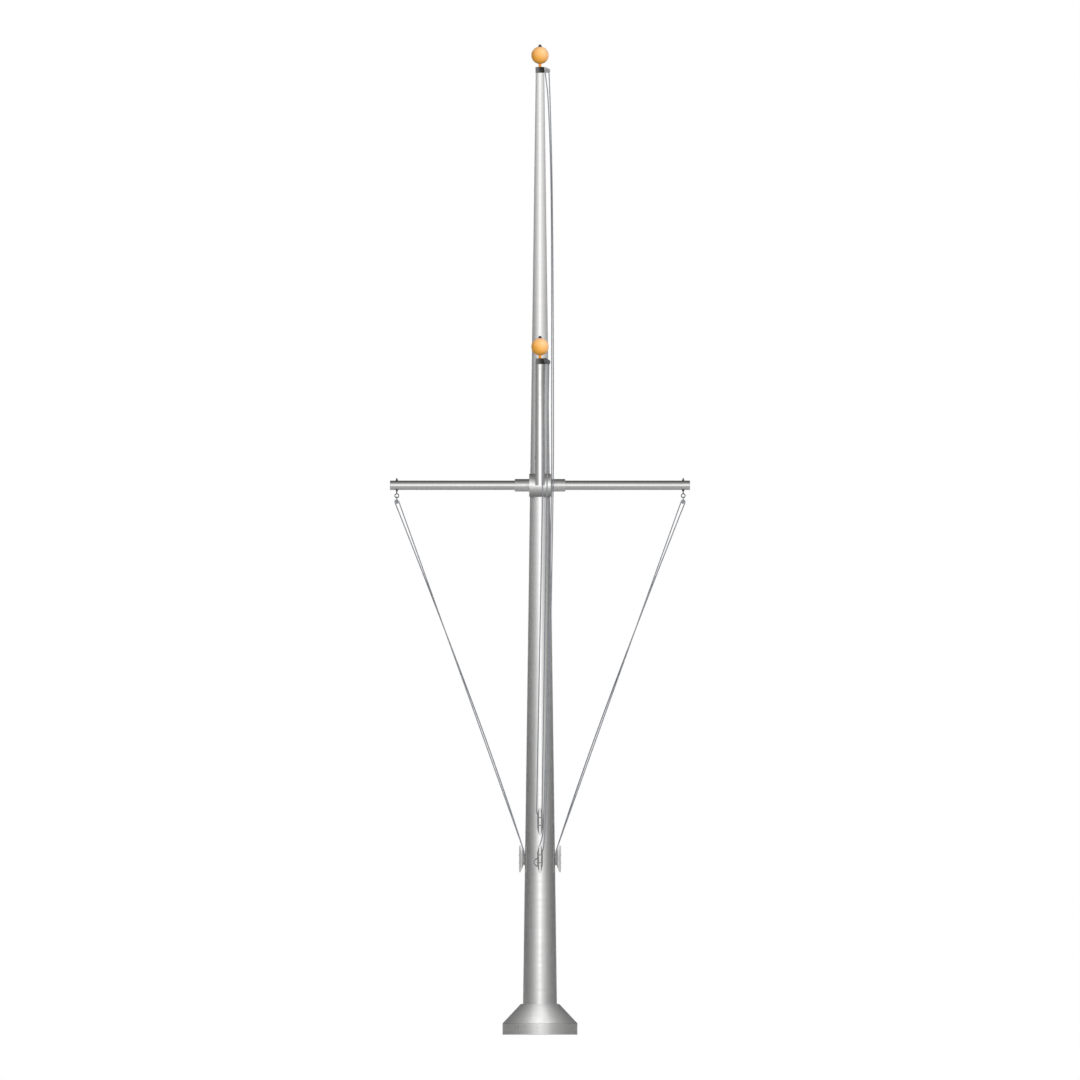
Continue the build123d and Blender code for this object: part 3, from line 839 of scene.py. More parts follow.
POLE_SATIN = SatinTube("pole_satin", span=(1.5, 8.2), metal=(1.0, 0.35))
YARD_SATIN = SatinTube("yard_satin", turn=(0.0, -90.0, 0.0), ring_depth=0.00001)
GAFF_SATIN = SatinTube("gaff_satin", tone=(0.62, 0.62, 0.615), turn=(-45.0, 0.0, 0.0), rough=(0.56, 0.56))
COLLAR_SATIN = SatinTube("collar_satin", span=(0.094, 0.099), rough=(0.24, 0.58))
# Painted shade darkens the cross fitting's block towards its top and bottom.
CAST = BlockCasting("cast_fitting", tone=(0.88, 0.88, 0.87), rough=0.22)
CLEAT_CAST = Casting("cleat_cast", tone=(0.86, 0.86, 0.85), rough=0.24)
# Painted shade darkens the side cleats near the pole.
SIDE_CAST = FootedCasting("side_cast", tone=(0.86, 0.86, 0.85), metal=0.6, rough=0.3)
# The trucks and their wings fade along X in painted light and shade.
TRUCK_CAST = Casting("truck_cast", slot=Slot.TRUCK, tone=(0.42, 0.425, 0.425), far_tone=(0.004, 0.004, 0.004),
                     fade=(-0.045, 0.018), metal=0.0, rough=0.6, shine=0.12, marks=0.05)
WING_PALE = Casting("wing_pale", slot=Slot.TRUCK, tone=(0.62, 0.62, 0.62), far_tone=(0.50, 0.50, 0.50),
                    fade=(0.04, 0.08), metal=0.5, rough=0.45)
WING_DARK = Casting("wing_dark", slot=Slot.TRUCK, tone=(0.10, 0.105, 0.105), far_tone=(0.11, 0.115, 0.115),
                    fade=(0.04, 0.08), metal=0.35, rough=0.5)
GOLD = Anodised("gold_anodised")
AMBER = Anodised("amber_anodised", tone=(1.0, 0.36, 0.03), shade=(0.96, 0.32, 0.02), metal=0.15, rough=0.5)
STEEL = Hardware("stainless")
DARK_STEEL = Hardware("dark_steel", tone=(0.12, 0.12, 0.125), rough=0.42)
NUT_DARK = Hardware("nut_dark", slot=Slot.TRUCK, tone=(0.11, 0.115, 0.125), metal=0.6, rough=0.42)
SHEAVE_GREY = Casting("sheave_grey", slot=Slot.SHEAVE, tone=(0.36, 0.375, 0.40), metal=0.3, rough=0.5,
                      grains=1500.0)
ROPE = Braid("plaited_rope")
FLOOR = Ground("pale_floor")


# ---------------------------------------------------------------- mesh helpers
FULL_TURN = 360.0
# Vertices of a built mesh that are nearer than this are one, and those of a copied CAD mesh.
SAME_SPOT, SAME_CAD_SPOT = 1e-6, 1e-5
# Faces of a copied CAD mesh that turn less than this, in degrees, are one.
FLAT = 0.8


def arc(centre: Pair, radius: float, start: float, end: float, steps: int) -> Profile:
    """Points of an arc.

    Args:
        centre: Middle of the arc.
        radius: Its radius.
        start: First angle in degrees.
        end: Last angle in degrees.
        steps: How many steps lie between them.

    Returns:
        The points, both ends included.
    """
    points = []
    for step in range(steps + 1):
        angle = math.radians(start + (end - start) * step / steps)
        points.append((centre[0] + radius * math.cos(angle), centre[1] + radius * math.sin(angle)))
    return points


def lathe(profile: Profile, steps: int) -> bmesh.types.BMesh:
    """Spin a closed profile round Z.

    Args:
        profile: (radius, height) points, of which the last joins the first.
        steps: Steps of the spin.

    Returns:
        The mesh, merged and with its faces outwards.
    """
    mesh = bmesh.new()
    points = [mesh.verts.new((radius, 0.0, height)) for radius, height in profile]
    edges = [mesh.edges.new(pair) for pair in zip(points, points[1:] + points[:1])]
    return spun(mesh, points + edges, steps)


def spun(mesh: bmesh.types.BMesh, drawn: list[Any], steps: int) -> bmesh.types.BMesh:
    """Spin what is drawn round Z in a full turn.

    Args:
        mesh: The mesh that it is drawn in.
        drawn: Its vertices and edges.
        steps: Steps of the spin.

    Returns:
        The same mesh, merged and with its faces outwards.
    """
    bmesh.ops.spin(mesh, geom=drawn, cent=(0, 0, 0), axis=(0, 0, 1), dvec=(0, 0, 0),
                   angle=math.radians(FULL_TURN), steps=steps, use_merge=True, use_duplicate=False)
    return tidied(mesh)


def tidied(mesh: bmesh.types.BMesh) -> bmesh.types.BMesh:
    """Merge doubles and turn the faces outwards.

    Args:
        mesh: The mesh to tidy.

    Returns:
        The same mesh.
    """
    bmesh.ops.remove_doubles(mesh, verts=mesh.verts, dist=SAME_SPOT)
    bmesh.ops.dissolve_degenerate(mesh, edges=mesh.edges, dist=SAME_SPOT / 10)
    bmesh.ops.recalc_face_normals(mesh, faces=mesh.faces)
    return mesh


def moved(mesh: bmesh.types.BMesh, place: Matrix) -> bmesh.types.BMesh:
    """Put a mesh in place, and right it if the placing mirrors it.

    Args:
        mesh: The mesh to move.
        place: Where it goes.

    Returns:
        The same mesh.
    """
    bmesh.ops.transform(mesh, matrix=place, verts=mesh.verts)
    bmesh.ops.recalc_face_normals(mesh, faces=mesh.faces)
    return mesh


def slab(outline: Iterable[Point], sweep: Point) -> bmesh.types.BMesh:
    """Extrude a flat outline.

    Args:
        outline: Corners of the flat face.
        sweep: How far it is extruded.

    Returns:
        The mesh.
    """
    mesh = bmesh.new()
    face = mesh.faces.new([mesh.verts.new(corner) for corner in outline])
    grown = bmesh.ops.extrude_face_region(mesh, geom=[face])["geom"]
    corners = [item for item in grown if isinstance(item, bmesh.types.BMVert)]
    bmesh.ops.translate(mesh, verts=corners, vec=sweep)
    return tidied(mesh)


def eased(mesh: bmesh.types.BMesh, width: float, segments: int = 2, angle: float = 30.0) -> bmesh.types.BMesh:
    """Round the sharp edges of a mesh.

    Args:
        mesh: The mesh to round.
        width: Width of the rounding in metres.
        segments: Its steps.
        angle: Edges that turn more than this, in degrees, are rounded.

    Returns:
        The same mesh.
    """
    limit = math.radians(angle)
    sharp = [edge for edge in mesh.edges if edge.is_manifold and edge.calc_face_angle(0.0) > limit]
    bmesh.ops.bevel(mesh, geom=sharp, offset=width, offset_type="OFFSET", affect="EDGES", segments=segments,
                    profile=0.5, material=-1, clamp_overlap=True)
    return mesh


def node_copy(node: str) -> bmesh.types.BMesh:
    """Copy a CAD node's mesh, merged and with its flat faces whole.

    Args:
        node: Name of the node.

    Returns:
        The copy.
    """
    mesh = bmesh.new()
    mesh.from_mesh(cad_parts[node].data)
    bmesh.ops.remove_doubles(mesh, verts=mesh.verts, dist=SAME_CAD_SPOT)
    bmesh.ops.dissolve_limit(mesh, angle_limit=math.radians(FLAT), verts=mesh.verts, edges=mesh.edges)
    bmesh.ops.recalc_face_normals(mesh, faces=mesh.faces)
    return mesh


def clipped(mesh: bmesh.types.BMesh, spot: Point, normal: Point) -> bmesh.types.BMesh:
    """Cut off what lies behind a plane and close the cut.

    Args:
        mesh: The mesh to cut.
        spot: A point of the plane.
        normal: Direction of the side that is kept.

    Returns:
        The same mesh.
    """
    geometry = list(mesh.verts) + list(mesh.edges) + list(mesh.faces)
    bmesh.ops.bisect_plane(mesh, geom=geometry, dist=SAME_SPOT, plane_co=spot, plane_no=normal,
                           clear_inner=True)
    bmesh.ops.holes_fill(mesh, edges=[edge for edge in mesh.edges if edge.is_boundary])
    return mesh


def joined(meshes: Iterable[bmesh.types.BMesh]) -> bmesh.types.BMesh:
    """Put several meshes into one.

    Args:
        meshes: The meshes, which are freed.

    Returns:
        The one mesh.
    """
    whole = bmesh.new()
    for mesh in meshes:
        data = bpy.data.meshes.new("part")
        mesh.to_mesh(data)
        mesh.free()
        whole.from_mesh(data)
        bpy.data.meshes.remove(data)
    return whole


def piece(name: str, mesh: bmesh.types.BMesh, finish: Finish, nodes: Sequence[str], body: Body = Body.MAST,
          crease: float = 32.0) -> bpy.types.Object:
    """Make a dressed object that rides on a body.

    Args:
        name: Name of the piece.
        mesh: Its mesh in place, which is freed.
        finish: Its finish.
        nodes: CAD nodes that it stands for.
        body: The body that it rides on.
        crease: Edges that turn more than this, in degrees, stay sharp.

    Returns:
        The object.
    """
    limit = math.radians(crease)
    for face in mesh.faces:
        face.smooth = True
    for edge in mesh.edges:
        edge.smooth = not edge.is_manifold or edge.calc_face_angle(0.0) < limit
    data = bpy.data.meshes.new(name)
    mesh.to_mesh(data)
    mesh.free()
    made = bpy.data.objects.new(name, data)
    bpy.context.scene.collection.objects.link(made)
    data.materials.append(finish.material())
    even = made.modifiers.new("even_faces", "WEIGHTED_NORMAL")
    even.keep_sharp = True
    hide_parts(*nodes)
    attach(made, body.value)
    LOG.info("%s: %d faces, %s, on %s", name, len(data.polygons), finish.name, body.value)
    return made


def at(x: float, y: float, z: float, turn: Point = (0, 0, 0)) -> Matrix:
    """Placing matrix from a point in metres and Euler angles in degrees."""
    angles = [math.radians(angle) for angle in turn]
    return Matrix.Translation((x, y, z)) @ Euler(angles).to_matrix().to_4x4()


def refaced(made: bpy.types.Object, finish: Finish, chosen: Callable[[Vector], bool]) -> None:
    """Give some faces of a piece a second finish.

    Args:
        made: The piece.
        finish: The second finish.
        chosen: Tells from a face's middle whether it takes it.
    """
    made.data.materials.append(finish.material())
    for face in made.data.polygons:
        face.material_index = int(chosen(face.center))


# ---------------------------------------------------------------- studio
class LampKind(Enum):
    """The kinds of lamp in use."""

    SUN = "SUN"
    AREA = "AREA"


@dataclass(frozen=True)
class Lamp:
    """A lamp and where it hangs.

    Attributes:
        name: Its name.
        kind: Its kind.
        energy: Its strength.
        place: Where it hangs, or for an accent where it hangs from its pieces' middle.
        wide: Angle of a sun in degrees, or size of an area lamp in metres.
        shape: Shape of an area lamp.
        sheen_only: Whether only gloss sees it.
    """

    name: str
    kind: LampKind
    energy: float
    place: Point
    wide: float
    shape: str = "DISK"
    sheen_only: bool = False

    def hang(self, place: Vector, aim: Vector) -> bpy.types.Object:
        """Hang the lamp.

        Args:
            place: Where it hangs.
            aim: The point it is turned to.

        Returns:
            The lamp.
        """
        data = bpy.data.lights.new(self.name, self.kind.value)
        data.energy = self.energy
        if self.kind is LampKind.SUN:
            data.angle = math.radians(self.wide)
        else:
            data.shape = self.shape
            data.size = self.wide
        made = bpy.data.objects.new(self.name, data)
        made.location = place
        made.rotation_euler = (aim - place).to_track_quat("-Z", "Y").to_euler()
        made.visible_diffuse = not self.sheen_only
        bpy.context.scene.collection.objects.link(made)
        LOG.info("lamp %s", self.name)
        return made

    def accent(self, pieces: Sequence[bpy.types.Object]) -> None:
        """Hang the lamp for some pieces alone: a sun aimed at their middle, another kind straight up or down.

        Args:
            pieces: What it lights.
        """
        corners = [Vector(corner) for made in pieces for corner in made.bound_box]
        middle = sum(corners, Vector()) / len(corners)
        place = middle + Vector(self.place)
        aim = middle if self.kind is LampKind.SUN else Vector((place.x, place.y, middle.z))
        lamp = self.hang(place, aim)
        lamp.visible_camera = False
        lit = bpy.data.collections.new(self.name)
        for made in pieces:
            lit.objects.link(made)
        lamp.light_linking.receiver_collection = lit


KEY = Lamp("key", LampKind.SUN, 1.8, (5.0, -8.0, 8.0), 12.0)
FILL = Lamp("fill", LampKind.SUN, 0.72, (-6.0, -8.0, 8.0), 12.0)
FLOOR_WASH = Lamp("floor_wash", LampKind.AREA, 9000.0, (0.0, -38.0, 14.0), 50.0, shape="SQUARE")
COLLAR_WASH = Lamp("collar_wash", LampKind.AREA, 75.0, (0.0, 0.0, 4.0), 0.6)
SKIRT_WASH = Lamp("skirt_wash", LampKind.SUN, 0.15, (0.0, -9.0, 0.2), 60.0)
GAFF_WASH = Lamp("gaff_wash", LampKind.AREA, 115.0, (0.0, 0.0, -4.4), 1.1)
BALL_SHEEN = Lamp("ball_sheen", LampKind.SUN, 15.0, (5.0, -4.5, 7.0), 10.0, sheen_only=True)


@dataclass
class Studio:
    """Camera, light, sky and floor.

    Attributes:
        width: What the camera sees, in metres.
        eye: Place of the camera.
        sight: How far the camera sees.
        aim: The point that the key and the fill are turned to.
        floor_reach: Radius of the floor.
        floor_drop: How far the floor lies under the collar's hem.
        front: Brightness that the sky straight in front of the mast adds.
        rear: Brightness of the sky behind it.
        falloff: Angle in degrees over which the front's brightness falls to a third.
        horizon: Half the height of the pale band along the horizon.
    """

    width: float = 9.18
    eye: Point = (0.0, -20.0, 4.205)
    sight: float = 200.0
    aim: Point = (0.0, 0.0, 4.5)
    floor_reach: float = 60.0
    floor_drop: float = 0.0005
    front: float = 1.5
    rear: float = 0.035
    falloff: float = 36.0
    horizon: float = 0.004

    def camera(self) -> None:
        """Set up the square-on camera."""
        data = bpy.data.cameras.new("front")
        data.type = "ORTHO"
        data.ortho_scale = self.width
        data.clip_end = self.sight
        camera = bpy.data.objects.new("front", data)
        camera.location = self.eye
        camera.rotation_euler = (math.radians(90.0), 0.0, 0.0)
        bpy.context.scene.collection.objects.link(camera)
        bpy.context.scene.camera = camera
        bpy.context.scene.view_settings.view_transform = "Standard"

    def light(self) -> None:
        """Hang a key and a fill that matt surfaces see and metals don't."""
        for lamp in (KEY, FILL):
            lamp.hang(Vector(lamp.place), Vector(self.aim)).visible_glossy = False

    def sky(self) -> None:
        """Paint the sky: bright in front of the mast, dark behind it, pale along the horizon."""
        world = bpy.data.worlds.new("sky")
        world.use_nodes = True
        bpy.context.scene.world = world
        graph = Graph(world.node_tree)
        background = next(node for node in world.node_tree.nodes if node.type == "BACKGROUND")
        direction = graph.add("TexCoord").outputs["Generated"]
        _, depth, height = graph.axes(direction)
        forward = graph.math("MULTIPLY", depth, -1.0)
        angle = graph.math("ARCCOSINE", graph.math("MINIMUM", graph.math("MAXIMUM", forward, -1.0), 1.0))
        front = graph.math("EXPONENT", graph.math("DIVIDE", angle, -math.radians(self.falloff)))
        glow = graph.math("ADD", graph.math("MULTIPLY", front, self.front), self.rear)
        band = graph.math("LESS_THAN", graph.math("ABSOLUTE", height), self.horizon)
        graph.feed(background.inputs["Color"], graph.math("MAXIMUM", glow, band))
        background.inputs["Strength"].default_value = 1.0

    def floor(self) -> None:
        """Lay the floor and light it."""
        mesh = bmesh.new()
        bmesh.ops.create_circle(mesh, cap_ends=True, segments=128, radius=self.floor_reach)
        bmesh.ops.translate(mesh, verts=mesh.verts, vec=(0, 0, -self.floor_drop))
        data = bpy.data.meshes.new("floor")
        mesh.to_mesh(data)
        mesh.free()
        data.materials.append(FLOOR.material())
        floor = bpy.data.objects.new("floor", data)
        bpy.context.scene.collection.objects.link(floor)
        FLOOR_WASH.accent([floor])

    def build(self) -> None:
        """Set up everything."""
        self.camera()
        self.light()
        self.sky()
        self.floor()


# ---------------------------------------------------------------- pole and collar
@dataclass
class Pole:
    """The tapered pole in its flash collar, on the base plate.

    Attributes:
        foot: Outside radius at the plate.
        top: Outside radius under the truck.
        wall: Thickness of its wall.
        low: Height of its foot.
        high: Height of its top.
        rim: Radius of the edges at its top.
        ring: Height from one ring of its mesh to the next.
    """

    foot: float = 0.14816
    top: float = 0.0365
    wall: float = 0.006
    low: float = 0.025
    high: float = 8.177
    rim: float = 0.0012
    ring: float = 0.5

    def radius(self, height: float) -> float:
        """Outside radius at a height."""
        return self.foot + (self.top - self.foot) * (height - self.low) / (self.high - self.low)

    def build(self) -> None:
        """Make the shaft with a rounded top edge, and dress the base plate."""
        inner, edge = self.top - self.wall, self.high - self.rim
        levels = [self.ring * step for step in range(1, int(self.high / self.ring) + 1)]
        profile = [(self.foot - self.wall, self.low), (self.foot, self.low)]
        profile += [(self.radius(level), level) for level in levels]
        profile += arc((self.top - self.rim, edge), self.rim, 0, 90, 3)
        profile += arc((inner + self.rim, edge), self.rim, 90, 180, 3)
        piece("pole", lathe(profile, steps=96), POLE_SATIN, ["pole_shaft"])
        piece("foot_plate", eased(node_copy("base_plate"), 0.0015), DARK_STEEL, ["base_plate"], crease=40)


@dataclass
class FlashCollar:
    """Thin spun cover over the base plate.

    Attributes:
        skirt: Outside radius of the upright skirt.
        skirt_high: Its height.
        top: Outside radius of the top edge.
        throat: Radius of the hole that the pole passes through.
        high: Height of the top edge.
        sheet: Thickness of the sheet.
        bend: Radius of the shoulder between skirt and cone.
        hem: Width of the hem's chamfer.
        lip: Radius of the top edge's rounding.
    """

    skirt: float = 0.3184
    skirt_high: float = 0.097
    top: float = 0.165
    throat: float = 0.1456
    high: float = 0.262
    sheet: float = 0.003
    bend: float = 0.006
    hem: float = 0.0012
    lip: float = 0.0014

    @property
    def slope(self) -> float:
        """Angle of the cone to the ground."""
        return math.atan2(self.high - self.skirt_high, self.skirt - self.top)

    def outside(self) -> Profile:
        """Draw the outer face from the hem to the throat, with a spun bend at the shoulder.

        Returns:
            Its points.
        """
        lean = 90.0 - math.degrees(self.slope)
        tuck = self.bend * math.tan(math.radians(lean) / 2)
        shoulder = arc((self.skirt - self.bend, self.skirt_high - tuck), self.bend, 0, lean, 5)
        lip = arc((self.top - 0.002, self.high - self.lip), self.lip, lean, 90, 3)
        skirt = [(self.skirt - self.hem, 0.0), (self.skirt, self.hem), (self.skirt, 3 * self.hem),
                 (self.skirt, self.skirt_high - tuck - 2 * self.hem)]
        run_x = 2 * self.hem * math.cos(self.slope)
        run_z = 2 * self.hem * math.sin(self.slope)
        cone = [(shoulder[-1][0] - run_x, shoulder[-1][1] + run_z), (lip[0][0] + run_x, lip[0][1] - run_z)]
        return skirt + shoulder + cone + lip + [(self.throat, self.high)]

    def build(self) -> bpy.types.Object:
        """Make the skirt and the cone in one sheet.

        Returns:
            The collar.
        """
        inset = self.sheet * math.tan(self.slope / 2)
        inside = [(self.throat, self.high - self.sheet), (self.top - inset, self.high - self.sheet),
                  (self.skirt - self.sheet, self.skirt_high - inset), (self.skirt - self.sheet, 0.0)]
        sheet = lathe(self.outside() + inside, steps=128)
        return piece("collar", sheet, COLLAR_SATIN, ["flash_collar"], crease=50)


# ---------------------------------------------------------------- balls on their stems
@dataclass
class Ball:
    """A spun ball in two halves, on its stem and under its domed nut.

    Attributes:
        name: Name of the mast or gaff that carries it, as the nodes spell it.
        spot: The truck's top, where the stem stands.
        radius: The ball's radius.
        wall: Thickness of its sheet.
        rise: From the truck's top to the ball's underside.
        stem: Radius of the stem.
        lift: Height of the stem.
        rod: Radius of the hole that the rod passes through.
        core: Radius of the hole along the axis that keeps a spun mesh open.
    """

    name: str
    spot: Point
    radius: float = 0.074
    wall: float = 0.002
    rise: float = 0.025
    stem: float = 0.0135
    lift: float = 0.0247
    rod: float = 0.0062
    core: float = 0.0004

    @property
    def centre(self) -> Matrix:
        """Placing of the ball's centre."""
        x, y, z = self.spot
        return at(x, y, z + self.rise + self.radius)

    def half(self, upper: bool) -> bmesh.types.BMesh:
        """Half of the shell about its own centre.

        Args:
            upper: Whether it is the upper half.

        Returns:
            The half, with a rolled edge at the seam.
        """
        hole = math.degrees(math.asin(self.rod / self.radius))
        bore = math.degrees(math.asin(self.rod / (self.radius - self.wall)))
        edge = [(self.radius - 0.0009, 0.0002)]
        outer = arc((0.0, 0.0), self.radius, 1.05, 90 - hole, 28)
        inner = arc((0.0, 0.0), self.radius - self.wall, 90 - bore, 0.3, 28)
        profile = edge + outer + inner
        if not upper:
            profile = [(radius, -height) for radius, height in profile]
        return lathe(profile, steps=72)

    def nut(self) -> bmesh.types.BMesh:
        """Domed nut about the ball's centre, hollow underneath where it sits on the ball.

        Returns:
            The nut.
        """
        foot, top, high = 0.017, 0.0095, self.radius + 0.018
        reach = self.radius + 0.0003
        thread, pip, crown_radius = 0.0061, 2 * self.core, 0.004
        low_angle, high_angle = (math.degrees(math.acos(radius / reach)) for radius in (foot, thread))
        hollow = arc((0, 0), reach, low_angle, high_angle, 4)
        crown = arc((top - crown_radius, high - crown_radius), crown_radius, 20, 90, 4)
        skirt = [(foot, reach * math.sin(math.acos(foot / reach)) + 0.0004), (foot, self.radius + 0.0012),
                 (foot - 0.0012, self.radius + 0.0032)]
        profile = skirt + [(top + 0.0014, high - 0.0062)] + crown + [(pip, high)]
        bore = [(pip, high - 0.0075), (thread, high - 0.0075)]
        return lathe(profile + bore + hollow[::-1], steps=36)

    def post(self) -> bmesh.types.BMesh:
        """Stem with a collar at each end, tang in the truck and rod through the ball, about the truck's top.

        Returns:
            The post.
        """
        tip = self.rise + 2 * self.radius + 0.009
        foot = [(self.core, -0.024), (0.0074, -0.024), (0.008, -0.0234), (0.008, -0.0002)]
        waist = [(0.0128, 0.0), (self.stem, 0.0008), (self.stem, 0.0042), (0.0122, 0.006), (0.0118, 0.0125),
                 (0.0122, 0.0187), (self.stem, 0.0205), (self.stem, self.lift - 0.0008), (0.0128, self.lift)]
        upright = [(0.006, self.lift + 0.0001), (0.006, tip - 0.0008), (0.0052, tip), (self.core, tip)]
        return lathe(foot + waist + upright, steps=36)

    def build(self) -> list[bpy.types.Object]:
        """Make both halves, the stem and the nut.

        Returns:
            The halves.
        """
        halves = []
        for upper, word in ((True, "upper"), (False, "lower")):
            node = f"{self.name}_ball_{word}"
            halves.append(piece(node + "_shell", moved(self.half(upper), self.centre), GOLD, [node]))
        piece(self.name + "_nut", moved(self.nut(), self.centre), NUT_DARK, [self.name + "_cap_nut"])
        piece(self.name + "_stem", moved(self.post(), at(*self.spot)), AMBER, [self.name + "_spindle"])
        return halves


# ---------------------------------------------------------------- sheaves
@dataclass
class Sheave:
    """A grooved wheel about its own Z, with a hub and lightening pockets, and its pin.

    Attributes:
        name: Name of the wheel's halyard, as the nodes spell it.
        axle: Placing of the axle, with the wheel's axis along Y.
        body: The body that it is.
        grip: Length of the pin between its heads.
        heads: Finish of the pin's heads.
        rim: Outside radius of the wheel.
        half: Half its thickness.
        web: Half the thickness of its web.
        groove: Radius of the rope groove.
    """

    name: str
    axle: Matrix
    body: Body
    grip: float = 0.0246
    heads: Finish = DARK_STEEL
    rim: float = 0.018
    half: float = 0.007
    web: float = 0.0045
    groove: float = 0.0053

    def wheel(self) -> bmesh.types.BMesh:
        """The wheel: rim with a rope groove, a thinner web and a hub.

        Returns:
            The wheel.
        """
        face, step = self.half, 0.0004
        hub = [(0.00305, face - step), (0.0034, face), (0.0056, face), (0.0060, face - 0.0005)]
        dish = [(0.0061, self.web), (0.0083, self.web), (0.0084, face - step)]
        edge = [(self.rim - 0.0005, face), (self.rim, face - 0.0006), (self.rim, 0.0061)]
        side = hub + dish + edge
        throat = arc((0.015, 0.0), self.groove, 262, 98, 12)
        return lathe([(radius, -height) for radius, height in side] + throat + side[::-1], steps=48)

    def pin(self) -> bmesh.types.BMesh:
        """Pin about Z with a domed head at each end.

        Returns:
            The pin.
        """
        half = self.grip / 2
        head = [(0.003, half), (0.0047, half), (0.005, half + 0.0003), (0.005, half + 0.0011),
                (0.0043, half + 0.0017), (0.0030, half + 0.002), (0.0003, half + 0.002)]
        foot = [(radius, -height) for radius, height in head][::-1]
        return lathe(foot + head, steps=24)

    def build(self) -> None:
        """Make the wheel and its pin."""
        place = self.axle @ at(0, 0, 0, (90, 0, 0))
        wheel, pin = moved(self.wheel(), place), moved(self.pin(), place)
        piece(self.name + "_wheel", wheel, SHEAVE_GREY, [self.name + "_sheave"], self.body)
        piece(self.name + "_axle_pin", pin, self.heads, [self.name + "_sheave_pin"])


# ---------------------------------------------------------------- trucks
@dataclass
class Truck:
    """Cap on the pole's or the gaff's end with its sheave's house, as one casting in two finishes.

    Attributes:
        name: Name of the piece.
        node: Node of the CAD model that it copies.
        ease: Width of its rounded edges.
        house: Finish of the house.
        low: Height over which the house's faces lie.
        split: Place along X beyond which they lie.
    """

    name: str
    node: str
    ease: float
    house: Finish
    low: float
    split: float = 0.0375

    def in_house(self, spot: Vector) -> bool:
        """Whether a face with this middle belongs to the house."""
        return spot.x > self.split and spot.z > self.low

    def build(self) -> None:
        """Make the casting and finish its house."""
        casting = eased(node_copy(self.node), self.ease, angle=35)
        made = piece(self.name, casting, TRUCK_CAST, [self.node], crease=40)
        refaced(made, self.house, self.in_house)


# ---------------------------------------------------------------- yard
@dataclass
class CrossFitting:
    """Block bowed in front and behind, with a socket at each side.

    Attributes:
        ease: Width of its rounded edges.
        corner: Edges that turn more than this, in degrees, are rounded.
    """

    ease: float = 0.0025
    corner: float = 40.0

    def build(self) -> None:
        """Ease the casting's edges."""
        block = eased(node_copy("cross_fitting"), self.ease, segments=3, angle=self.corner)
        piece("hub", block, CAST, ["cross_fitting"], crease=42)


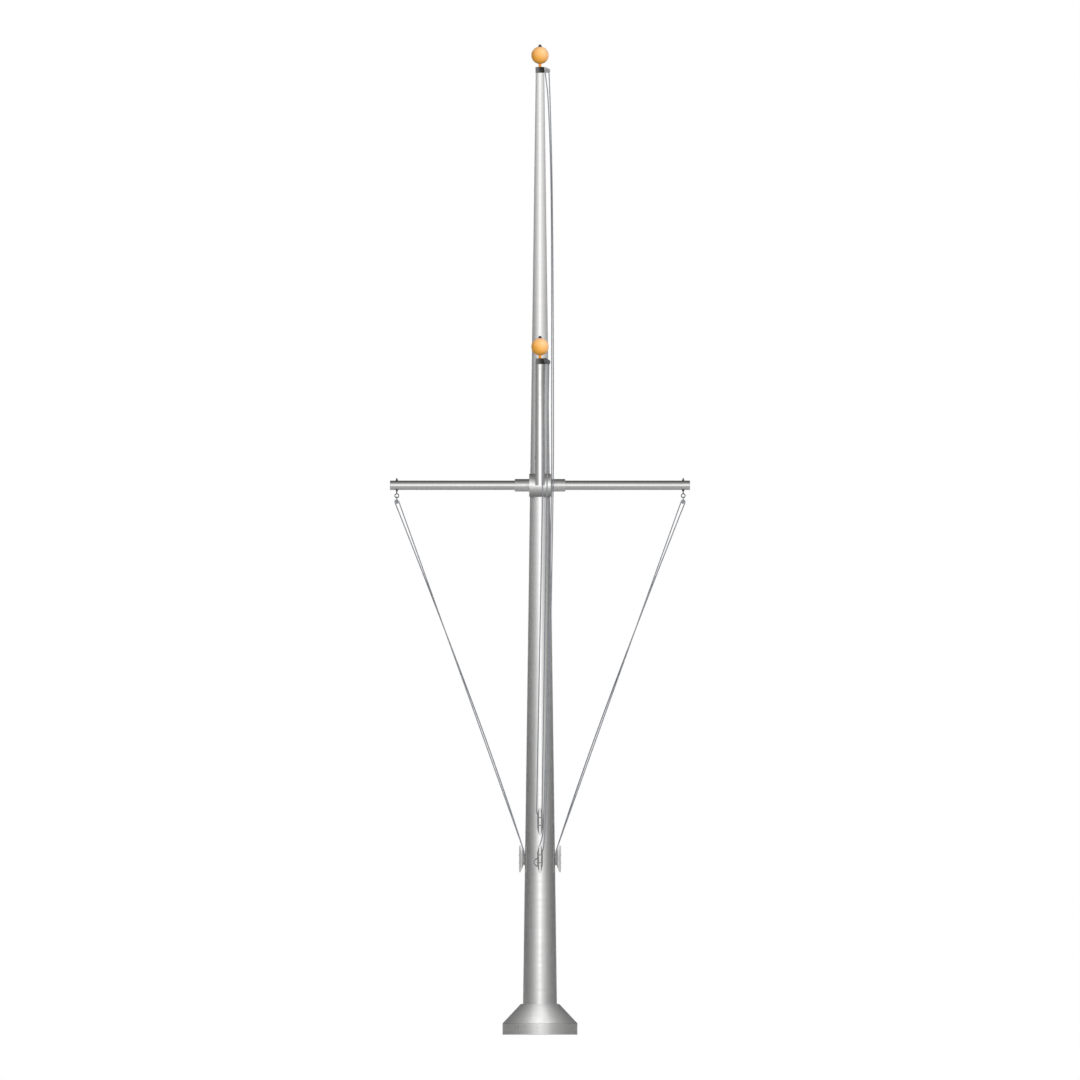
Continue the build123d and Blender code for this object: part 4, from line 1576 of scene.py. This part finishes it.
@dataclass
class YardArm:
    """One arm of the yard with its end cap, eye bolt and block.

    Attributes:
        side: Which side it is on.
        height: Height of the yard.
        start: From the axis to the tube's inner end.
        reach: From the axis to the cap's outer face.
        radius: Outside radius of the tube.
        wall: Thickness of its wall.
        cap: Thickness of the cap.
        plug: Radius of the cap's plug in the tube.
        plug_long: Length of the plug.
        eye_reach: From the axis to the eye bolt.
        eye_drop: From the yard's axis to the eye's centre.
        ring: Radius of the eye, to the middle of its wire.
        wire: Radius of the eye's wire.
        thread: Radius of the bolt's thread.
        pitch: From one of the thread's rings to the next.
        bare: From the eye's centre to the thread.
        axle_drop: From the eye's centre to the sheave's axle.
        grip: Length of the sheave's pin between its heads.
        dark_drop: From the eye's centre down to where the shackle turns pale.
    """

    side: Side
    height: float = 4.670
    start: float = 0.092335
    reach: float = 1.275
    radius: float = 0.040
    wall: float = 0.003
    cap: float = 0.004
    plug: float = 0.0367
    plug_long: float = 0.020
    eye_reach: float = 1.217
    eye_drop: float = 0.0893
    ring: float = 0.0165
    wire: float = 0.004
    thread: float = 0.005
    pitch: float = 0.0015
    bare: float = 0.0365
    axle_drop: float = 0.0517
    grip: float = 0.0292
    dark_drop: float = 0.032

    def along(self) -> Matrix:
        """Placing that turns Z outwards along the arm, from the pole's axis at the yard's height."""
        return at(0, 0, self.height, (0, 90 * self.side.value, 0))

    def tube(self) -> bmesh.types.BMesh:
        """The arm's tube about Z from its inner end.

        Returns:
            The tube.
        """
        end, inner, rings = self.reach - self.cap, self.radius - self.wall, 8
        outer = [(self.radius, self.start + (end - self.start) * step / rings) for step in range(rings + 1)]
        return lathe(outer + [(inner, end), (inner, self.start)], steps=64)

    def lid(self) -> bmesh.types.BMesh:
        """End cap with a turned rim, a shallow centre and a plug in the tube.

        Returns:
            The cap.
        """
        end, edge, core = self.reach, 0.0016, 0.0005
        seat, dish, pip = end - self.cap, end - 0.0008, end - 0.0014
        back = seat - self.plug_long
        rim = [(self.radius, seat), (self.radius, end - edge), (self.radius - edge, end)]
        face = [(0.030, end), (0.0285, dish), (0.006, dish), (0.0045, pip), (core, pip)]
        stub = [(self.plug - 0.001, back), (self.plug, back + 0.001), (self.plug, seat)]
        return lathe(stub + rim + face + [(core, back)], steps=64)

    def bolt(self) -> bmesh.types.BMesh:
        """Eye and threaded shank about the eye's centre.

        Returns:
            The bolt.
        """
        ring = bmesh.new()
        wire = bmesh.ops.create_circle(ring, segments=14, radius=self.wire)["verts"]
        bmesh.ops.rotate(ring, verts=wire, matrix=Matrix.Rotation(math.radians(90), 3, "X"))
        bmesh.ops.translate(ring, verts=wire, vec=(self.ring, 0, 0))
        eye = moved(spun(ring, list(ring.verts) + list(ring.edges), 40), at(0, 0, 0, (90, 0, 0)))
        low, high, core, blunt = self.ring, self.eye_drop + self.radius + 0.022, 0.0004, 0.0003
        profile = [(core, low), (self.thread - blunt, low), (self.thread, low + 0.002),
                   (self.thread, self.bare - 0.0005)]
        level = self.bare
        while level < high - 0.002:
            profile += [(self.thread - 0.00045, level), (self.thread, level + self.pitch / 2)]
            level += self.pitch
        profile += [(0.0044, high - 0.0006), (0.0038, high), (core, high)]
        return joined([eye, lathe(profile, steps=20)])

    def shackle(self) -> bmesh.types.BMesh:
        """Bowed bar with a flattened eye at each foot, where its CAD node has it."""
        return eased(node_copy(self.side.word + "_shackle"), 0.0005, angle=45)

    def is_pale(self, spot: Vector) -> bool:
        """Whether a face of the shackle with this middle is pale."""
        return spot.z < self.height - self.eye_drop - self.dark_drop

    def build(self) -> None:
        """Make the arm and all that hangs from its end."""
        word = self.side.word
        eye = at(self.side.value * self.eye_reach, 0, self.height - self.eye_drop)
        piece(word + "_arm", moved(self.tube(), self.along()), YARD_SATIN, [word + "_yard_arm"])
        piece(word + "_lid", moved(self.lid(), self.along()), YARD_SATIN, [word + "_yard_cap"])
        piece(word + "_eye", moved(self.bolt(), eye), DARK_STEEL, [word + "_eyebolt"])
        bow = piece(word + "_bow", self.shackle(), DARK_STEEL, [word + "_shackle"], crease=40)
        refaced(bow, SHEAVE_GREY, self.is_pale)
        Sheave(word, eye @ at(0, 0, -self.axle_drop), Body[word.upper() + "_WHEEL"], self.grip, STEEL).build()


def hex_nut(flats: float, high: float) -> bmesh.types.BMesh:
    """Hexagonal nut about Z from its foot, chamfered above and below.

    Args:
        flats: Width across the flats.
        high: Height.

    Returns:
        The nut.
    """
    corner, rim, cuts, steepness = flats / math.sqrt(3), 0.475 * flats, 24, 1.75
    mesh = slab([(x, y, 0.0) for x, y in arc((0, 0), corner, 0, 300, 5)], (0, 0, high))
    for x, y in arc((0, 0), 1.0, 0, FULL_TURN - FULL_TURN / cuts, cuts - 1):
        for up, level in ((1, high), (-1, 0.0)):
            clipped(mesh, (rim * x, rim * y, level), (-x, -y, -steepness * up))
    return tidied(mesh)


@dataclass
class YardNuts:
    """The nuts over and under the ends of the yard.

    Attributes:
        height: Height of the yard.
        radius: Radius of the yard with its clearance.
        reach: From the axis to an eye bolt.
        flats: Width of a nut.
        high: Height of a nut.
    """

    height: float = 4.670
    radius: float = 0.0403
    reach: float = 1.217
    flats: float = 0.017
    high: float = 0.010

    def build(self) -> None:
        """Make the four nuts."""
        nuts = []
        for side in Side:
            for level in (self.radius, -self.radius - self.high):
                nut = hex_nut(self.flats, self.high)
                nuts.append(moved(nut, at(side.value * self.reach, 0, self.height + level)))
        piece("yard_nuts", joined(nuts), DARK_STEEL, ["eyebolt_nuts"], crease=25)


# ---------------------------------------------------------------- gaff
@dataclass
class Gaff:
    """The gaff's tube, its spigot and its set screw.

    Attributes:
        crease: Edges that turn more than this, in degrees, stay sharp.
        ease: Width of the rounding on the screw's edges.
    """

    crease: float = 40.0
    ease: float = 0.0008

    def build(self) -> bpy.types.Object:
        """Make the three pieces.

        Returns:
            The tube.
        """
        tube = piece("gaff_tube", node_copy("gaff_arm"), GAFF_SATIN, ["gaff_arm"], crease=self.crease)
        piece("gaff_core", node_copy("gaff_spigot"), CAST, ["gaff_spigot"], crease=self.crease)
        screw = eased(node_copy("gaff_set_screw"), self.ease)
        piece("gaff_screw", screw, DARK_STEEL, ["gaff_set_screw"], crease=self.crease)
        return tube


# ---------------------------------------------------------------- cleats
@dataclass
class Cleat:
    """A horn cleat on its two spacers.

    Attributes:
        name: Name of its node.
        height: Height of its middle.
        turn: Turn about Z, in degrees, from one that faces the front.
        seat: Pole radius at its height.
        length: Length over the horns.
        width: Width at the waist.
        tip: Width of the horns' tips.
        ridge: Width of the crest.
        crest: From the pole to the crest.
        gap: From the pole to the underside.
        waist: From the pole to the widest part.
        flat: Length of the level underside.
        tip_thick: Thickness of the horns' tips.
        shoulder: Width at the ends of the level underside, as a share of the middle's.
        sole: Width of the underside, as a share of the waist's.
        ease: Width of its rounded edges.
    """

    name: str
    height: float
    turn: float
    seat: float
    length: float = 0.227
    width: float = 0.052
    tip: float = 0.018
    ridge: float = 0.015
    crest: float = 0.050
    gap: float = 0.013
    waist: float = 0.028
    flat: float = 0.112
    tip_thick: float = 0.014
    shoulder: float = 0.93
    sole: float = 0.75
    ease: float = 0.0022

    def facets(self) -> list[tuple[Point, Point]]:
        """List the facets, with -Y away from the pole.

        Returns:
            A point and the outward direction of each.
        """
        half, flat, tip = self.length / 2, self.flat / 2, self.tip / 2
        wide = self.width / 2
        found = []
        for up in (-1, 1):
            rise = half - flat
            drop = self.crest - self.tip_thick - self.gap
            found.append(((0.0, -self.gap, up * flat), (0.0, rise, up * drop)))
            found.append(((0.0, -self.crest, up * half), (0.0, 0.0, float(up))))
            for side in (-1, 1):
                shoulder = self.shoulder * wide
                found.append(((side * shoulder, 0.0, up * flat), (side * rise, 0.0, up * (shoulder - tip))))
                found.append(((side * wide, 0.0, 0.0), (side * flat, 0.0, up * (wide - shoulder))))
        for side in (-1, 1):
            ridge, sole = self.ridge / 2, self.sole * wide
            rise, drop = self.crest - self.waist, self.waist - self.gap
            found.append(((side * ridge, -self.crest, 0.0), (side * rise, ridge - wide, 0.0)))
            found.append(((side * sole, -self.gap, 0.0), (side * drop, wide - sole, 0.0)))
        return found

    def build(self) -> bpy.types.Object:
        """Cut the horned bar to its facets and ease its edges.

        Returns:
            The bar.
        """
        wide, high = 0.03, 0.12
        block = [(x, -self.gap, z) for x, z in ((-wide, -high), (wide, -high), (wide, high), (-wide, high))]
        bar = slab(block, (0, self.gap - self.crest, 0))
        for spot, way in self.facets():
            clipped(bar, spot, tuple(-part for part in way))
        eased(tidied(bar), self.ease, segments=3, angle=4)
        place = at(0, 0, self.height, (0, 0, self.turn)) @ at(0, -self.seat, 0)
        finish = SIDE_CAST if self.turn else CLEAT_CAST
        return piece(self.name + "_bar", moved(bar, place), finish, [self.name], crease=42)


@dataclass
class CleatFixings:
    """Spacers and screws of the four cleats.

    Attributes:
        seats: Height, turn and pole radius of each cleat.
        span: Distance between a cleat's two screws.
        crest: From the pole to a cleat's crest.
        long: Length of a screw under its head.
    """

    seats: list[Point]
    span: float = 0.066
    crest: float = 0.050
    long: float = 0.0615

    def screw(self) -> bmesh.types.BMesh:
        """Screw about Z with a domed head, from the crest inwards.

        Returns:
            The screw.
        """
        shank, core = 0.003, 0.0003
        dome = [(0.0035, 0.0), (0.0054, 0.0), (0.0055, 0.0003), (0.0052, 0.0014), (0.0042, 0.0023),
                (0.0026, 0.0029), (core, 0.003)]
        tail = [(core, -self.long), (0.0022, -self.long), (shank, 0.001 - self.long), (shank, 0.0)]
        return lathe(tail + dome, steps=24)

    def build(self) -> None:
        """Make all eight of each."""
        screws = []
        for height, turn, seat in self.seats:
            for level in (-self.span / 2, self.span / 2):
                outwards = at(0, -seat - self.crest, height + level, (90, 0, 0))
                screws.append(moved(self.screw(), at(0, 0, 0, (0, 0, turn)) @ outwards))
        piece("screws", joined(screws), DARK_STEEL, ["cleat_screws"])
        spacers = eased(node_copy("cleat_spacers"), 0.0006, angle=50)
        piece("bushes", spacers, CLEAT_CAST, ["cleat_spacers"], crease=45)


# ---------------------------------------------------------------- halyards
# Control points of the ropes' splines, in metres: up from the cleat, over the sheave and down to it again.
PORT_ROUTE: list[Point] = [
    (-0.1346, 0.0060, 1.5110), (-0.1346, -0.0070, 1.5110), (-0.1346, -0.0170, 1.5210),
    (-0.1346, -0.0170, 1.5570), (-0.1454, -0.0168, 1.5871), (-1.1842, -0.0003, 4.4874),
    (-1.2045, 0.0000, 4.5439), (-1.2238, 0.0000, 4.5473), (-1.2363, 0.0000, 4.5319),
    (-1.2137, 0.0005, 4.4763), (-1.1880, 0.0010, 4.4130), (-0.9046, 0.0070, 3.6910),
    (-0.5154, 0.0110, 2.6710), (-0.2770, 0.0150, 1.9910), (-0.1346, 0.0170, 1.5570),
    (-0.1346, 0.0172, 1.5280), (-0.1346, 0.0170, 1.4550), (-0.1346, 0.0070, 1.4450),
    (-0.1346, -0.0070, 1.4450), (-0.1346, -0.0170, 1.4550), (-0.1346, -0.0170, 1.4690),
    (-0.1346, -0.0070, 1.4790), (-0.1346, 0.0060, 1.4790),
]
GAFF_ROUTE: list[Point] = [
    (0.0060, -0.1303, 1.8280), (-0.0070, -0.1303, 1.8280), (-0.0170, -0.1303, 1.8380),
    (-0.0170, -0.1303, 1.8580), (-0.0280, -0.1315, 1.8930), (-0.0274, -0.1398, 1.9239),
    (0.0412, -1.1470, 5.6677), (0.0423, -1.1626, 5.7256), (0.0593, -1.1650, 5.7348),
    (0.0759, -1.1625, 5.7252), (0.0750, -1.1469, 5.6672), (0.0174, -0.1378, 1.8980),
    (0.0170, -0.1303, 1.8700), (0.0172, -0.1303, 1.8410), (0.0170, -0.1303, 1.7720),
    (0.0070, -0.1303, 1.7620), (-0.0070, -0.1303, 1.7620), (-0.0170, -0.1303, 1.7720),
    (-0.0170, -0.1303, 1.7860), (-0.0070, -0.1303, 1.7960), (0.0060, -0.1303, 1.7960),
]
MAIN_ROUTE: list[Point] = [
    (0.0060, -0.1346, 1.5110), (-0.0070, -0.1346, 1.5110), (-0.0170, -0.1346, 1.5210),
    (-0.0170, -0.1346, 1.5450), (-0.0020, -0.1365, 1.6120), (0.0270, -0.1370, 1.7060),
    (0.0330, -0.1360, 1.8600), (0.0500, -0.1240, 2.4200), (0.0760, -0.1000, 3.2700),
    (0.1000, -0.0640, 4.6900), (0.0990, -0.0460, 5.2250), (0.1000, -0.0080, 7.0950),
    (0.0730, -0.0030, 7.9470), (0.0486, -0.0007, 8.1414), (0.0412, 0.0000, 8.2010),
    (0.0574, 0.0000, 8.2125), (0.0752, 0.0000, 8.2038), (0.0778, -0.0007, 8.1438),
    (0.0860, -0.0030, 7.9470), (0.1080, -0.0200, 7.0950), (0.1155, -0.0460, 5.2250),
    (0.1130, -0.0640, 4.6900), (0.0890, -0.1000, 3.2700), (0.0660, -0.1240, 2.4200),
    (0.0470, -0.1360, 1.8600), (0.0400, -0.1360, 1.7000), (0.0300, -0.1352, 1.5900),
    (0.0170, -0.1346, 1.5410), (0.0178, -0.1349, 1.4512), (-0.0025, -0.1357, 1.4314),
    (-0.0300, -0.1329, 1.4325), (-0.0495, -0.1275, 1.4520), (-0.0495, -0.1271, 1.4795),
    (-0.0300, -0.1320, 1.4990), (-0.0030, -0.1346, 1.4990),
]


@dataclass
class Halyard:
    """A plaited rope on its route.

    Attributes:
        name: Name of the CAD node that it stands for.
        route: Its control points.
        length: Its length in metres; not used.
        diameter: Its thickness.
        sides: Sides of its section.
        step: Length between two rings of its mesh.
        start_up: Any direction across the rope's first stretch, from which its section is carried along.
    """

    name: str
    route: list[Point]
    length: float
    diameter: float = 0.010
    sides: int = 12
    step: float = 0.003
    start_up: Point = (0.31, 0.92, 0.23)

    def line(self) -> np.ndarray:
        """The rope's centre line.

        Returns:
            Points a step apart, read from the route's spline.
        """
        curve = bpy.data.curves.new(self.name + "_route", "CURVE")
        curve.dimensions = "3D"
        curve.resolution_u = 32
        spline = curve.splines.new("NURBS")
        spline.points.add(len(self.route) - 1)
        for point, place in zip(spline.points, self.route):
            point.co = (*place, 1.0)
        spline.order_u = 3
        spline.use_endpoint_u = True
        holder = bpy.data.objects.new(self.name + "_route", curve)
        drawn = bpy.data.meshes.new_from_object(holder)
        places = np.array([vertex.co[:] for vertex in drawn.vertices])
        bpy.data.objects.remove(holder)
        bpy.data.meshes.remove(drawn)
        bpy.data.curves.remove(curve)
        lengths = np.concatenate([[0.0], np.cumsum(np.linalg.norm(np.diff(places, axis=0), axis=1))])
        wanted = np.linspace(0.0, lengths[-1], round(lengths[-1] / self.step) + 1)
        return np.stack([np.interp(wanted, lengths, places[:, axis]) for axis in range(3)], axis=1)

    def tube(self, line: np.ndarray) -> bpy.types.Mesh:
        """A round tube along a line, with U round it and V along it in metres.

        Args:
            line: Points of the centre line.

        Returns:
            The mesh.
        """
        ahead = np.gradient(line, axis=0)
        ahead /= np.linalg.norm(ahead, axis=1)[:, None]
        up = np.cross(ahead[0], self.start_up)
        rings = []
        angles = np.arange(self.sides) * 2.0 * math.pi / self.sides
        for place, way in zip(line, ahead):
            up = up - way * up.dot(way)
            up /= np.linalg.norm(up)
            beside = np.cross(way, up)
            normals = np.cos(angles)[:, None] * up + np.sin(angles)[:, None] * beside
            rings.append(place + normals * self.diameter / 2)
        sides, last = self.sides, (len(line) - 1) * self.sides
        ring, side = np.divmod(np.arange(last), sides)
        corners = ((0, 0), (0, 1), (1, 1), (1, 0))
        quads = np.stack([(ring + on) * sides + (side + over) % sides for on, over in corners], axis=1)
        ends = [tuple(range(sides))[::-1], tuple(range(last, last + sides))]
        mesh = bpy.data.meshes.new(self.name)
        mesh.from_pydata(np.concatenate(rings), [], quads.tolist() + ends)
        layer = mesh.uv_layers.new(name="along")
        uv = np.zeros((len(mesh.loops), 2))
        for corner, (on, over) in enumerate(corners):
            uv[corner:4 * last:4, 0] = (side + over) / sides
            uv[corner:4 * last:4, 1] = (ring + on) * self.step
        layer.data.foreach_set("uv", uv.ravel())
        mesh.shade_smooth()
        return mesh

    def build(self) -> bpy.types.Object:
        """Returns:
            The rope.
        """
        line = self.line()
        mesh = self.tube(line)
        mesh.materials.append(ROPE.material())
        rope = bpy.data.objects.new(self.name + "_rope", mesh)
        bpy.context.scene.collection.objects.link(rope)
        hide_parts(self.name)
        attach(rope, Body.MAST.value)
        # The bare metal shows no image of the ropes beside it, only their shadows.
        rope.visible_glossy = False
        LOG.info("%s: %d rings", rope.name, len(line))
        return rope


def build_halyards() -> None:
    """Reeve the four halyards."""
    starboard = [(-x, y, z) for x, y, z in PORT_ROUTE]
    Halyard("port_halyard", PORT_ROUTE, 6.62).build()
    Halyard("starboard_halyard", starboard, 6.62).build()
    Halyard("gaff_halyard", GAFF_ROUTE, 8.25).build()
    Halyard("main_halyard", MAIN_ROUTE, 13.66).build()


# ---------------------------------------------------------------- the whole flagpole
# Height and turn of each cleat.
CLEATS: dict[str, Pair] = {
    "port_cleat": (1.495, -90.0),
    "starboard_cleat": (1.495, 90.0),
    "upper_cleat": (1.812, 0.0),
    "lower_cleat": (1.495, 0.0),
}


def build_cleats(pole: Pole) -> None:
    """Make the four cleats with their spacers and screws.

    Args:
        pole: The pole that they stand on.
    """
    for name, (height, turn) in CLEATS.items():
        Cleat(name, height, turn, pole.radius(height)).build()
    CleatFixings([(height, turn, pole.radius(height)) for height, turn in CLEATS.values()]).build()


def main() -> None:
    """Build the flagpole piece by piece."""
    Studio().build()
    build_halyards()
    pole = Pole()
    pole.build()
    collar = FlashCollar().build()
    Truck("mast_truck", "main_truck", 0.0011, WING_PALE, 8.177).build()
    CrossFitting().build()
    for side in Side:
        YardArm(side).build()
    YardNuts().build()
    tube = Gaff().build()
    Truck("gaff_end_truck", "gaff_truck", 0.0009, WING_DARK, 5.68).build()
    balls = Ball("main", (0.0, 0.0, 8.226)).build() + Ball("gaff", (0.0, -1.160, 5.749)).build()
    Sheave("main", at(0.059, 0.0, 8.193), Body.MAIN_WHEEL).build()
    Sheave("gaff", at(0.059, -1.160, 5.716, (15, 0, 0)), Body.GAFF_WHEEL).build()
    build_cleats(pole)
    COLLAR_WASH.accent([collar])
    GAFF_WASH.accent([tube])
    BALL_SHEEN.accent(balls)
    SKIRT_WASH.accent([collar])
    LOG.info("the flagpole is built")


if __name__ == "__main__":
    logging.basicConfig(level=logging.INFO, format="%(name)s %(message)s")
    main()
